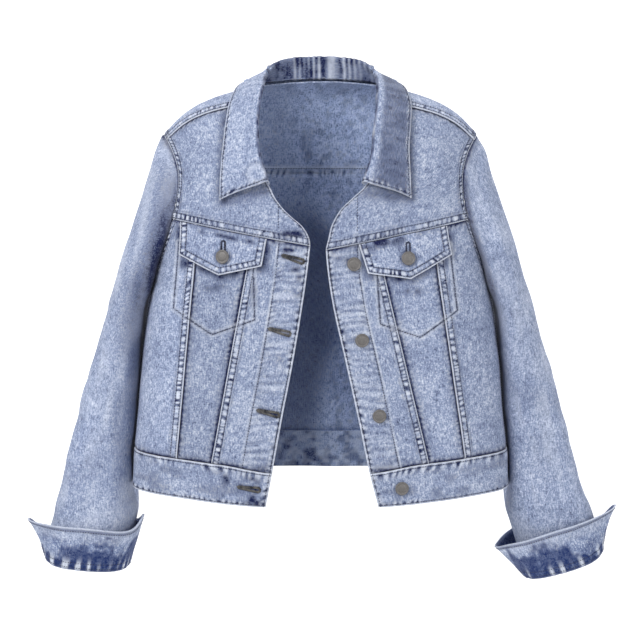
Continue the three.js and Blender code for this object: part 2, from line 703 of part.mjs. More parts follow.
function sleeveSurface(side) {
  const plain = (turn, at) => {
    const point = sleeveSection(side, at, turn);
    const start = armholeAt(turn).sub(sleeveSection(side, 0, turn));
    return clearOfBody(point.addScaledVector(start, 1 - smooth(at / 0.3)));
  };
  return (u, v) => {
    const turn = (side === "left" ? u : 1 - u) * 2 * PI;
    let rise = 0;
    for (const fold of SLEEVE_FOLDS) {
      const round = Math.atan2(Math.sin(turn - fold.turn), Math.cos(turn - fold.turn));
      rise += foldShape(fold, v - fold.at, round - fold.lean * (v - fold.at));
    }
    const point = plain(turn, v);
    const middle = plain(turn + PI, v).add(point).multiplyScalar(0.5);
    const out = point.clone().sub(middle).normalize();
    point.addScaledVector(out, rise * smooth((v - 0.04) / 0.12) * smooth((0.97 - v) / 0.1));
    return point.multiply(vector(sign[side], 1, 1));
  };
}

const sleeve = (side) => solidFrom([wall(sleeveSurface(side), steps(28), steps(20))]);

// A cuff folded up round the end of its sleeve, flaring to two raised ends.
function cuff(side) {
  const ring = (turn, out, up) => {
    const at = (t) => sleeveSection(side, 1, t);
    const centre = at(0).add(at(PI)).multiplyScalar(0.5);
    const point = at(turn);
    const tangent = at(turn + 1e-3).sub(at(turn - 1e-3));
    const axis = at(PI / 2).sub(centre).cross(at(0).sub(centre)).normalize();
    const outward = tangent.cross(axis).normalize();
    if (outward.dot(point.clone().sub(centre)) < 0) outward.negate();
    const outwards = Math.cos(turn);
    const { foot, wing, tip } = sleeveEnd(side, turn);
    const share = clamp(up / CUFF_HEIGHT, 0, 1);
    const behind = smooth(outwards / 0.6) * smooth(-2.2 * Math.sin(turn));
    const near = Math.max(0, Math.sin(turn)) ** 3;
    const flare = out + tip * outwards ** 14 * share;
    const stand = (wing - foot) * outwards ** (outwards > 0 ? 6 : 12);
    const rise = up + (stand + CUFF_NEAR_RISE * near - CUFF_FAR_DROP * behind) * share ** 2;
    if (axis.z < 0) axis.negate();
    return point.addScaledVector(outward, flare).addScaledVector(axis, rise);
  };
  const count = 28;
  const rows = CUFF_SECTION.length;
  const places = [];
  const index = [];
  for (let i = 0; i < count; i++) {
    const turn = ((side === "left" ? i : -i) / count) * 2 * PI;
    for (const { out, up } of CUFF_SECTION) {
      places.push(...ring(turn, out, up).multiply(vector(sign[side], 1, 1)).toArray());
    }
  }
  for (let i = 0; i < count; i++) {
    for (let k = 0; k < rows; k++) {
      const [a, b] = [i * rows + k, i * rows + ((k + 1) % rows)];
      const next = ((i + 1) % count) * rows;
      const [d, c] = [next + k, next + ((k + 1) % rows)];
      index.push(a, b, c, a, c, d);
    }
  }
  const geometry = new THREE.BufferGeometry();
  geometry.setAttribute("position", new THREE.Float32BufferAttribute(places, 3));
  geometry.setIndex(index);
  geometry.computeVertexNormals();
  return geometry;
}

// A tack button: a short shank under a low domed cap, turned about its own upright axis.
const BUTTON_PROFILE = [
  [0, 0.4],
  [3.4, 0.4],
  [3.4, 1.7],
  [BUTTON_RADIUS - 0.4, 1.7],
  [BUTTON_RADIUS, 2.3],
  [BUTTON_RADIUS - 0.3, 3.3],
  [BUTTON_RADIUS - 1.6, 3.8],
  [0, 4.1],
].map(([radius, height]) => new THREE.Vector2(radius, height));

const metal = new THREE.MeshStandardMaterial({ color: 0x8a8880, roughness: 0.42, metalness: 0.9 });
const denim = (color) => new THREE.MeshStandardMaterial({ color, roughness: 0.92, metalness: 0 });
const panelDenim = denim(0x93a2c2);
const darkDenim = denim(0x5f7299);
const facingDenim = denim(0x7f90b3);

const jacket = new THREE.Group();
jacket.name = "denim_jacket";

function add(name, geometry, material = panelDenim) {
  const mesh = new THREE.Mesh(geometry, material);
  mesh.name = name;
  jacket.add(mesh);
  return mesh;
}

function addButton(name, x, z, seat) {
  const surface = (u, v) => bodyTurn(frontAngle(u, v), v);
  const normal = normalOf(surface, x, z, 1);
  const mesh = add(name, new THREE.LatheGeometry(BUTTON_PROFILE, 14), metal);
  mesh.position.copy(surface(x, z)).addScaledVector(normal, seat);
  mesh.quaternion.setFromUnitVectors(vector(0, 1, 0), normal);
}

add("back_yoke", backYoke());
add("back_panel", backPanel());
add("waistband", waistband());
add("collar", collar());
for (const side of ["right", "left"]) {
  add(`${side}_front_yoke`, frontYoke(side));
  add(`${side}_centre_front`, centreFront(side));
  add(`${side}_middle_front`, middleFront(side));
  add(`${side}_side_front`, sideFront(side));
  add(`${side}_front_facing`, frontFacing(side), facingDenim);
  add(`${side}_pocket_bag`, pocketBag(side), facingDenim);
  add(`${side}_pocket_flap`, pocketFlap(side));
  add(`${side}_sleeve`, sleeve(side));
  add(`${side}_cuff`, cuff(side), darkDenim);
  const { x, z } = FLAP_BUTTONS[side];
  addButton(`${side}_flap_button`, sign[side] * x, z, FLAP_GAP + FLAP + FLAP_LIFT * 0.5);
}
for (const { name, x, z } of FRONT_BUTTONS) addButton(`${name}_button`, x, z, 0.2);
addButton("waistband_button", BAND_BUTTON.x, BAND_BUTTON.z, BAND_PROUD + 0.2);

export default jacket;
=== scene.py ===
"""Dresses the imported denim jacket: washed twill panels with felled seams, stitching, buttons and a studio.

The shape functions repeat those of part.mjs. They work in millimetres and turn into metres when a
mesh is made. A panel is a grid of two parameters, u across and v up, worked out as whole arrays.
"""

from __future__ import annotations

import logging
import math
import sys
from dataclasses import dataclass, field
from enum import Enum
from typing import Callable, Sequence

import bpy
import numpy as np
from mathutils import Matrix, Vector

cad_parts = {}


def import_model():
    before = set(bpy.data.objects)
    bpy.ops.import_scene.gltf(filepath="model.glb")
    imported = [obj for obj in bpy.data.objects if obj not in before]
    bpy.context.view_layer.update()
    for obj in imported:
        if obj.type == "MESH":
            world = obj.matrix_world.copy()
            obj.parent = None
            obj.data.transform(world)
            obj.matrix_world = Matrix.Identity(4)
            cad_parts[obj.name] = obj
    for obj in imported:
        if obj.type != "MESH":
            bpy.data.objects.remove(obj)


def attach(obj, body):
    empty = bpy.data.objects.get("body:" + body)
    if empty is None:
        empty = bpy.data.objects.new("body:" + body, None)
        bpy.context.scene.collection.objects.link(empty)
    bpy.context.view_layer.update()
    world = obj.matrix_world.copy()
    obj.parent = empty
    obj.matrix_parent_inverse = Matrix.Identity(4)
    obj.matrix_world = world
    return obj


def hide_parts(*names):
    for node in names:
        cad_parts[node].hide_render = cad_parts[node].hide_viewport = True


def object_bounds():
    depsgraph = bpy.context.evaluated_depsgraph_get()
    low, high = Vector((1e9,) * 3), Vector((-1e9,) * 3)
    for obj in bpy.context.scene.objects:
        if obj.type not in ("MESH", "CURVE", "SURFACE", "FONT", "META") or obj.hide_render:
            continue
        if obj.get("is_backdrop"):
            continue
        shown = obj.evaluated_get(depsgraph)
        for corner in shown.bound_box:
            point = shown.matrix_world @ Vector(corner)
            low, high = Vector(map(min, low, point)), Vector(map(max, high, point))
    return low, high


LOG = logging.getLogger("jacket")
Array = np.ndarray
Surface = Callable[[Array, Array], Array]
Curve = Callable[[Array], Array]
Socket, Tree, Node = bpy.types.NodeSocket, bpy.types.NodeTree, bpy.types.Node
Material, Piece = bpy.types.Material, bpy.types.Object
MM = 0.001
PI = math.pi


class Side(Enum):
    """The wearer's side, with the sign of its x."""

    RIGHT = -1
    LEFT = 1

    @property
    def word(self) -> str:
        """The side's name as the nodes spell it."""
        return self.name.lower()


class Border(Enum):
    """One of the four borders of a panel's grid."""

    START = "u0"
    END = "u1"
    FOOT = "v0"
    TOP = "v1"


class Finish(Enum):
    """How a border is sewn."""

    FELLED = "felled"  # a raised strip with two rows of stitches, on top of its neighbour
    TUCKED = "tucked"  # runs on under its neighbour's felled strip
    FOLDED = "folded"  # a free folded edge with topstitching
    PLAIN = "plain"


# Sizes in millimetres, as in part.mjs
CLOTH = 1.6
SEAM = 0.4
HALF_SEAM = SEAM / 2
LAYER_GAP = 0.8
FACING = 1.4
BAND = 2.8
BAND_PROUD = 0.7
FLAP = 2.2
COLLAR = 2.0
HEM_Z = -509.0
BAND_TOP_Z = -467.0
HEM_RISE = (1.5, 12.0)
BAND_TOP_RISE = 7.0
ARMPIT_Z = -240.0
BACK_YOKE_Z = -109.0
NECK_CORNER_Z = -114.0
NECK_HALF = 87.0
SHOULDER_HALF = 196.5
NECK_RIDGE_Z = 8.0
SHOULDER_SLOPE = 0.27
SHOULDER_DROOP = 30.4
NECK_DIP = 4.7
SEAM_DROP_NECK = 20.0
SEAM_DROP_ARM = 12.0
SECTION_POWER = 2.5
SIDE_Y = -8.0
RIDGE_Y = 12.0
CHEST_REACH = 210.0
BACK_REACH = 110.0
FRONT_SEAM_TOP_Z = -175.0
FACING_WIDTH = 40.0
FACING_TOP_Z = -90.0
FACING_BEND_Z = -190.0
INNER_LAYER = -CLOTH - LAYER_GAP - 0.5
FLAP_GAP = 0.7
FLAP_LIFT = 3.2
SLEEVE_CLEAR = 2.5
SLEEVE_TOUCH = 0.012
SLEEVE_START = 0.9
SLEEVE_SNUG = 2.2
LEFT_CUFF_FROM = 0.8
END_FROM = 0.84
CUFF_HEIGHT = 52.0
CUFF_NEAR_RISE = 5.0
CUFF_FAR_DROP = 18.0
COLLAR_FRONT_SHIFT = -6.0
COLLAR_FOLD_RADIUS = 3.4
COLLAR_SEAT = 2.6
COLLAR_REST = 4.2


@dataclass(frozen=True)
class Table:
    """Rows under named columns, read as smooth curves."""

    names: str
    rows: tuple[tuple[float, ...], ...]

    def column(self, name: str) -> Array:
        """One column as an array."""
        return np.array([row[self.names.split().index(name)] for row in self.rows], float)

    def read(self, at: Array) -> dict[str, Array]:
        """Every column after the first at the first one's places."""
        key, *others = self.names.split()
        return {name: self.curve(key, name)(at) for name in others}

    def curve(self, key: str, name: str) -> Curve:
        """Smooth curve of one column over another, whose rows rise.

        Each stretch is a cubic: a smooth step between its two values, plus the mean slopes of
        its ends, each fading out towards the other end.

        Args:
            key: column of the places.
            name: column of the values.

        Returns:
            A function of an array of places.
        """
        xs, ys = self.column(key), self.column(name)
        last = len(xs) - 1
        before, after = np.maximum(np.arange(last + 1) - 1, 0), np.minimum(np.arange(last + 1) + 1, last)
        slopes = (ys[after] - ys[before]) / (xs[after] - xs[before])

        def value(x: Array) -> Array:
            """The curve at x."""
            x = np.asarray(x, float)
            i = np.clip(np.searchsorted(xs, x, side="left") - 1, 0, last - 1)
            width = xs[i + 1] - xs[i]
            t = np.clip((x - xs[i]) / width, 0, 1)
            rise = t * t * (3 - 2 * t)
            leave = t * (1 - t) ** 2 * width * slopes[i]
            arrive = t * t * (t - 1) * width * slopes[i + 1]
            return ys[i] + (ys[i + 1] - ys[i]) * rise + leave + arrive

        return value


BODY_WIDTH = Table("z half", (
    (-509, 240), (-459, 238), (-397, 232), (-333, 226), (-268, 217), (-203, 205), (-120, 202), (20, 201),
))
BODY_DEPTH = Table("drop front back", (
    (0, 127, 90), (120, 127, 94), (250, 130, 99), (400, 125, 93), (530, 121, 94),
))
FRONT_EDGE = Table("z right left", (
    (-509, 68, 72), (-467, 60, 61), (-400, 48, 47), (-325, 33.5, 30.5), (-250, 21, 14),
    (-190, 13, 6.5), (-175, 13.5, 9.5), (-160, 22, 13), (-148, 36, 19), (-138, 46, 26),
    (-126, 55, 39), (-114, 61, 52), (-98, 71, 64), (-70, 81, 75), (-40, 86, 83),
    (-12, 87, 86.5), (8, 87, 87),
))
ARMHOLE = Table("z front back", (
    (-240, 212.4, 212.4), (-232, 209.5, 210), (-215, 203, 205), (-185, 192.5, 196), (-150, 181, 187),
    (-122, 176, 184), (-95, 176.5, 184), (-72, 184, 188), (-52, 196.5, 196.5),
))
FRONT_SEAMS = {
    Side.RIGHT: {"inner": (83.0, 137.5), "outer": (150.5, 180.0)},
    Side.LEFT: {"inner": (67.0, 137.5), "outer": (136.5, 182.0)},
}
YOKE = {Side.RIGHT: (-186.0, 0.173), Side.LEFT: (-190.0, 0.19)}
# Each patch: its three upper distances from the middle, then the three lower corners
FLAPS = {
    Side.RIGHT: ((65, 120, 171), ((71, -208), (122.5, -220), (171, -197))),
    Side.LEFT: ((46, 103, 153.5), ((57, -216.5), (108.5, -224.5), (158, -196.5))),
}
POCKETS = {
    Side.RIGHT: ((82, 128, 174), ((80, -274), (133, -293), (181, -263))),
    Side.LEFT: ((66, 112, 158), ((73, -279), (122, -296), (168, -265))),
}
POCKET_TOP_Z = {Side.RIGHT: -182.0, Side.LEFT: -184.0}
FRONT_BUTTONS = {
    "collar": (80, -100), "chest": (40.5, -205.5), "middle": (50.5, -298.5), "lower": (72, -392.5),
}
BAND_BUTTON = (100, -483.5)
FLAP_BUTTONS = {Side.RIGHT: (117, -197.5), Side.LEFT: (106, -199.5)}
# Buttonholes of the wearer's right front: distance from the middle, height and turn in degrees
BUTTONHOLES = ((33, -199, -17), (49.5, -288, -14), (64, -389, -13), (88, -484, -8))
COLLAR_LINES = Table("at foldX foldY foldZ edgeX edgeRoot", (
    (0, 0, 60, 43.5, 0, -6.5), (0.2, 38, 55, 41, 50, -6.1), (0.35, 60, 42, 34, 80, -4.4),
    (0.5, 73, 8, 22.5, 102.5, 0.8), (0.6, 76, -38, 7, 111, 4.2), (0.7, 77, -63, -14, 112.5, 6.5),
    (0.8, 76, -84, -42, 113, 8.4), (0.9, 73, -101, -74, 114.5, 10.1), (1, 61.5, -113, -108, 115.5, 11.4),
))
SLEEVE = Table("at outX outZ inX inZ midY depth", (
    (0, 196.5, -52, 212.4, -240, -5, 52), (0.08, 213, -92, 216, -252, 0, 59),
    (0.17, 229, -138, 219, -268, 4, 64), (0.29, 250, -200, 222, -293, 7, 66),
    (0.44, 273, -278, 225, -331, 9, 64), (0.58, 296.5, -356, 229, -384, 11, 59),
    (0.72, 318, -435, 232, -449, 13, 52), (0.88, 343, -529, 238, -540, 15, 45),
    (1, 355, -600, 253, -609, 16, 42),
))
# Heights of the cuff's stitch rows over the fold
CUFF_ROWS = (-1.5, 7.5, 49.0)
# Shift of the left sleeve's lines towards its end, by column of the sleeve table, in millimetres
LEFT_CUFF_SHIFT = {"outX": 9.0, "outZ": 9.0, "inX": 14.0, "inZ": -12.0}
# Rise of the fold, rise of the upper edge and reach of the tip, at the outer and the inner end
SLEEVE_ENDS = {
    Side.RIGHT: ((8, -4, 19), (2, 18, 3)),
    Side.LEFT: ((9, -2, 25), (0, -4, 12)),
}
CUFF_SECTION = Table("out up", (
    (-1.6, -0.5), (-1.4, -3.2), (1.6, -4.2), (4.4, -2.6), (5.6, 4), (7.2, 18), (9.8, 36),
    (12.5, 52), (9.9, 52.6), (7.2, 36.4), (4.6, 18.6), (3.0, 4.6), (2.2, -0.5),
))
BODY_FOLDS = Table("x z lean along across rise back", (
    (-165, -120, 0.35, 70, 13, 4.5, 0), (160, -112, -0.4, 65, 13, 4.5, 0),
    (-60, -330, 0.05, 150, 22, -3, 0), (100, -170, 0.12, 60, 15, -4, 0),
    (160, -360, -0.08, 120, 20, 4, 0), (-200, -400, 0.1, 110, 24, 4, 0),
    (-95, -330, 0.1, 170, 28, 6, 1), (10, -420, -0.04, 120, 24, -5, 1),
    (110, -300, -0.12, 160, 26, 6.5, 1), (-160, -170, 0.6, 80, 18, 5, 1),
    (165, -185, -0.55, 90, 16, 5, 1),
))
SLEEVE_FOLDS = Table("at turn lean along across rise", (
    (0.2, 1.1, 1.6, 0.12, 0.28, 4.5), (0.46, 2.3, -3, 0.1, 0.3, -5), (0.54, 2, -3.4, 0.11, 0.26, 5),
    (0.66, 1.2, 2.2, 0.14, 0.3, -3.5), (0.8, 0.7, 0.8, 0.12, 0.34, 4), (0.5, 4.4, 3, 0.12, 0.3, 5),
    (0.62, 4.7, -2.6, 0.12, 0.28, -5), (0.3, 5.2, -1.5, 0.14, 0.3, 4.5),
))

half_width = BODY_WIDTH.curve("z", "half")
front_depth = BODY_DEPTH.curve("drop", "front")
back_depth = BODY_DEPTH.curve("drop", "back")
front_edge = {Side.RIGHT: FRONT_EDGE.curve("z", "right"), Side.LEFT: FRONT_EDGE.curve("z", "left")}
armhole_front = ARMHOLE.curve("z", "front")
armhole_back = ARMHOLE.curve("z", "back")


def mix(start: Array | float, end: Array | float, share: Array | float) -> Array:
    """Straight blend from start to end by a share."""
    return start + (end - start) * share


def smooth(share: Array | float) -> Array:
    """Smooth step: 0 below 0, 1 above 1, and 3 t squared less 2 t cubed between."""
    t = np.clip(share, 0, 1)
    return t * t * (3 - 2 * t)


def bell(distance: Array | float, width: float) -> Array:
    """A bell of height 1: e to the minus square of distance over width."""
    return np.exp(-((np.asarray(distance) / width) ** 2))


def stack(x: Array, y: Array, z: Array) -> Array:
    """Points from three arrays of coordinates."""
    return np.stack(np.broadcast_arrays(x, y, z), axis=-1)


def unit(vectors: Array) -> Array:
    """Vectors at length 1."""
    return vectors / np.maximum(np.linalg.norm(vectors, axis=-1, keepdims=True), 1e-9)


def running_length(line: Array) -> Array:
    """Length of a line of points up to each point."""
    return np.concatenate([[0], np.cumsum(np.linalg.norm(np.diff(line, axis=0), axis=1))])


def stretches(places: Sequence[float], counts: Sequence[int]) -> Array:
    """Even steps between each two neighbouring places, which are shared.

    Args:
        places: rising ends of the stretches.
        counts: points in each stretch, both ends counted.

    Returns:
        All places in order.
    """
    parts = [np.linspace(a, b, count) for a, b, count in zip(places, places[1:], counts)]
    return np.concatenate([parts[0], *[part[1:] for part in parts[1:]]])


def same(value: float) -> Callable[[Array, Array], Array]:
    """A function of two arrays with one value everywhere."""
    return lambda first, _: np.full(np.shape(first), value)


def value_noise(x: Array, y: Array, cell: float, seed: int) -> Array:
    """Smooth noise from -1 to 1: random corner values of square cells, blended with a smooth step.

    Args:
        x: places along the first way, in millimetres.
        y: places along the second way.
        cell: side of a cell.
        seed: number of the noise.

    Returns:
        The noise at each place.
    """
    lattice = np.random.default_rng(seed).uniform(-1, 1, (256, 256))
    fx, fy = np.asarray(x) / cell, np.asarray(y) / cell
    ix, iy = np.floor(fx).astype(int), np.floor(fy).astype(int)
    tx, ty = smooth(fx - ix), smooth(fy - iy)
    low = mix(lattice[iy % 256, ix % 256], lattice[iy % 256, (ix + 1) % 256], tx)
    high = mix(lattice[(iy + 1) % 256, ix % 256], lattice[(iy + 1) % 256, (ix + 1) % 256], tx)
    return mix(low, high, ty)


# The body

def ridge_z(x: Array) -> Array:
    """Height of the shoulder ridge: a low arch between the neck ends, then a drooping slope."""
    beyond = np.abs(x) - NECK_HALF
    arch = SHOULDER_SLOPE * NECK_HALF / 2 * (1 - (np.asarray(x) / NECK_HALF) ** 2)
    droop = SHOULDER_DROOP * (np.maximum(beyond, 0) / (SHOULDER_HALF - NECK_HALF)) ** 4
    return NECK_RIDGE_Z + np.where(beyond < 0, arch, -SHOULDER_SLOPE * beyond - droop)


def round_over(drop: Array, reach: float, power: float) -> Array:
    """Share of the full depth at a drop below the ridge: a quarter of a rounded oblong."""
    left = np.clip(1 - drop / reach, 0, 1)
    return (1 - left**power) ** (1 / power)


def front_y(drop: Array) -> Array:
    """Depth of the front at a drop below the ridge."""
    return RIDGE_Y - front_depth(drop) * round_over(drop, CHEST_REACH, 2)


def back_y(drop: Array) -> Array:
    """Depth of the back at a drop below the ridge."""
    return RIDGE_Y + back_depth(drop) * round_over(drop, BACK_REACH, 3)


def body_fold(x: Array, z: Array, is_back: Array) -> Array:
    """Height of the soft folds at a place: the sum of a leaning bell for each fold of that face."""
    height = np.zeros(np.broadcast(x, z).shape)
    for fx, fz, lean, along, across, rise, back in BODY_FOLDS.rows:
        down = z - fz
        shape = rise * bell(down, along) * bell(x - fx - lean * down, across)
        height = height + np.where(is_back == bool(back), shape, 0)
    return height


def body_at(x: Array, drop: Array, is_back: Array) -> Array:
    """Points of the body at a distance from the middle and a drop below the ridge.

    The plan section is a rounded oblong about the side seams, and its full depth is the profile's.

    Args:
        x: distances from the middle.
        drop: drops below the ridge.
        is_back: whether each lies behind.

    Returns:
        The points.
    """
    x, drop = np.broadcast_arrays(np.asarray(x, float), np.asarray(drop, float))
    z = ridge_z(x) - drop
    share = np.clip(np.abs(x) / half_width(z), 0, 1)
    rounded = (1 - share**SECTION_POWER) ** (1 / SECTION_POWER)
    fold = body_fold(x, z, is_back) * smooth(drop / 60) * smooth((rounded - 0.1) / 0.4)
    full = np.where(is_back, back_y(drop) + fold, front_y(drop) - fold)
    return stack(x, mix(SIDE_Y, full, rounded), z)


def body_turn(angle: Array, z: Array) -> Array:
    """The body by angle: 0 is the middle of the front, a quarter turn the left side seam."""
    x = half_width(z) * np.sin(angle)
    return body_at(x, ridge_z(x) - z, np.cos(angle) < 0)


def front_angle(x: Array, z: Array) -> Array:
    """The angle of a place on the front."""
    return np.arcsin(np.clip(x / half_width(z), -1, 1))


def shoulder_at(x: Array, root: Array) -> Array:
    """A point over the shoulder: root is the square root of the drop, negative behind the ridge."""
    x, root = np.broadcast_arrays(np.asarray(x, float), np.asarray(root, float))
    return body_at(x, root * root, root < 0)


def surface_normal(surface: Surface, u: Array, v: Array, step: float = 1e-3) -> Array:
    """Outward direction: the cross product of short steps along both parameters."""
    along_u = surface(u + step, v) - surface(u - step, v)
    along_v = surface(u, v + step) - surface(u, v - step)
    return unit(np.cross(along_u, along_v))


def body_outward(x: Array, root: Array) -> Array:
    """Outward direction of the body over the shoulder."""
    return -surface_normal(shoulder_at, x, root, 0.05)


def front_surface(x: Array, z: Array) -> Array:
    """The front by distance from the middle and height."""
    return body_turn(front_angle(x, z), z)


def front_frame(x: Array, z: Array, step: float = 0.5) -> tuple[Array, Array]:
    """Points of the front, and their outward directions, turned to look forward."""
    normals = surface_normal(front_surface, x, z, step)
    return front_surface(x, z), np.where(normals[..., 1:2] > 0, -normals, normals)


# Rounds and share of each step of the search for a height
ROUNDS = 14
DAMPING = 0.55


def body_piece(start: Curve, end: Curve, foot: Curve, top: Curve) -> Surface:
    """Part of the body between two upright lines and two level ones.

    Args:
        start: angle of the first upright line by height.
        end: angle of the second.
        foot: height of the lower line by distance from the middle, and whether it is behind.
        top: height of the upper line, by the same two.

    Returns:
        A surface whose height is found by repeated damped substitution.
    """

    def surface(u: Array, v: Array) -> Array:
        """The piece at u and v."""
        zero = np.zeros_like(v)
        z = mix(foot(zero, zero > 0), top(zero, zero > 0), v)
        for _ in range(ROUNDS):
            turn = mix(start(z), end(z), u)
            x, behind = half_width(z) * np.sin(turn), np.cos(turn) < 0
            z = mix(z, mix(foot(x, behind), top(x, behind), v), DAMPING)
        return body_turn(mix(start(z), end(z), u), z)

    return surface


def front_piece(side: Side, inner: Curve, outer: Curve, foot: Curve, top: Curve) -> Surface:
    """A front piece between two distances from the middle, turned so that the angle rises.

    Args:
        side: the wearer's side.
        inner: distance of the inner line from the middle, by height.
        outer: distance of the outer line.
        foot: height of the lower line, as for a body piece.
        top: height of the upper line.

    Returns:
        The piece's surface.
    """
    lines = [lambda z, line=line: front_angle(side.value * line(z), z) for line in (inner, outer)]
    return body_piece(*lines[::side.value], foot, top)


def hem_rise(x: Array, behind: Array) -> Array:
    """How much higher the hem lies than its table: more to the sides in front, all of it behind."""
    return np.where(behind, HEM_RISE[1], mix(*HEM_RISE, smooth((np.abs(x) - 60) / 170)))


def panel_foot_z(x: Array, behind: Array) -> Array:
    """Height of the lower line of the panels, just above the waistband."""
    away = np.where(behind, 1, smooth((np.abs(x) - 50) / 75))
    return BAND_TOP_Z + hem_rise(x, behind) + BAND_TOP_RISE * away + HALF_SEAM


def yoke_seam_z(side: Side, x: Array) -> Array:
    """Height of the slanted chest seam."""
    edge, rise = YOKE[side]
    return edge + rise * np.abs(x)


def shoulder_seam_drop(x: Array) -> Array:
    """Drop of the forward shoulder seam below the ridge."""
    share = (np.abs(x) - NECK_HALF) / (SHOULDER_HALF - NECK_HALF)
    return mix(SEAM_DROP_NECK, SEAM_DROP_ARM, np.clip(share, 0, 1))


def upright_seam(side: Side, name: str, shift: float = 0.0) -> Curve:
    """Distance from the middle of an upright front seam, by height."""
    top, foot = FRONT_SEAMS[side][name]

    def line(z: Array) -> Array:
        """The seam's straight line at a height."""
        return mix(foot, top, (z - BAND_TOP_Z) / (FRONT_SEAM_TOP_Z - BAND_TOP_Z)) + shift

    return line


def side_or_armhole(edge: Curve) -> Curve:
    """The outer border of a body piece: the side seam, and above the armpit the armhole."""

    def line(z: Array) -> Array:
        """The border's distance from the middle."""
        return np.where(z <= ARMPIT_Z, half_width(z), np.minimum(half_width(z), edge(z)))

    return line


def side_gap(z: Array) -> Array:
    """Angle kept free beside the side seam."""
    return np.where(z <= ARMPIT_Z, HALF_SEAM / half_width(z), 0)


# Sewn cloth

@dataclass(frozen=True)
class Sewing:
    """How one border of a panel is finished, in millimetres.

    Attributes:
        finish: the kind of border.
        width: width of a felled strip, or reach of the tuck.
        rows: distances of the stitch rows from the border.
        pucker: height of the puckers.
        period: length of a pucker.
        both_faces: whether stitches show on the inside as well.
    """

    finish: Finish = Finish.PLAIN
    width: float = 12.5
    rows: tuple[float, ...] = ()
    pucker: float = 0.45
    period: float = 6.6
    both_faces: bool = False

    @property
    def tuck(self) -> float:
        """How far the panel runs on past its border."""
        return self.width if self.finish is Finish.TUCKED else 0.0

    @property
    def reach(self) -> float:
        """How far from the border the steps stay fine."""
        return {Finish.PLAIN: 0.0, Finish.TUCKED: TUCKED_REACH}.get(self.finish, self.width)


TUCKED_REACH = 8.0
FELLED = Sewing(Finish.FELLED, 10.8, (2.1, 8.7))
FELLED_NARROW = Sewing(Finish.FELLED, 8.4, (2.0, 6.8), 0.3)
TUCKED = Sewing(Finish.TUCKED, 5.0)
TUCKED_SHORT = Sewing(Finish.TUCKED, 1.0)
EDGE_DOUBLE = Sewing(Finish.FOLDED, 11.0, (2.4, 8.4), 0.4)
EDGE_SINGLE = Sewing(Finish.FOLDED, 10.5, (3.0,), 0.6, 8.5)
PLAIN = Sewing()


@dataclass
class Marks:
    """What sewing does to the cloth: its height, its pale wear, and its dark dye together with painted shade,
    by vertex.
    """

    rise: Array
    fade: Array
    ink: Array

    def add(self, other: "Marks") -> None:
        """Adds the heights, and keeps the stronger of the two colours."""
        self.rise = self.rise + other.rise
        self.fade = np.maximum(self.fade, other.fade)
        self.ink = np.maximum(self.ink, other.ink)


def puckers(along: Array, across: Array, period: float, seed: int) -> Array:
    """Uneven waves from -1 to 1 along a seam.

    A sine with a drifting phase and a slant that changes is mixed with noise of half its period,
    and both are weak along some stretches.

    Args:
        along: places along the seam.
        across: distances from it.
        period: length of a wave.
        seed: number of the noises.

    Returns:
        The wave at each place.
    """
    drift = 4.2 * value_noise(along, across * 0.3, 2.7 * period, seed)
    slant = 0.12 + 0.5 * value_noise(along, across * 0, 34, seed + 3)
    regular = np.sin(2 * PI * (along + slant * across) / period + drift)
    broken = value_noise(along, across * 0.5, 0.5 * period, seed + 5)
    strength = np.clip(0.8 + 0.75 * value_noise(along, across * 0.2, 22, seed + 1), 0.12, 1.15)
    return np.clip((0.75 * regular + 0.8 * broken) * strength, -1, 1)


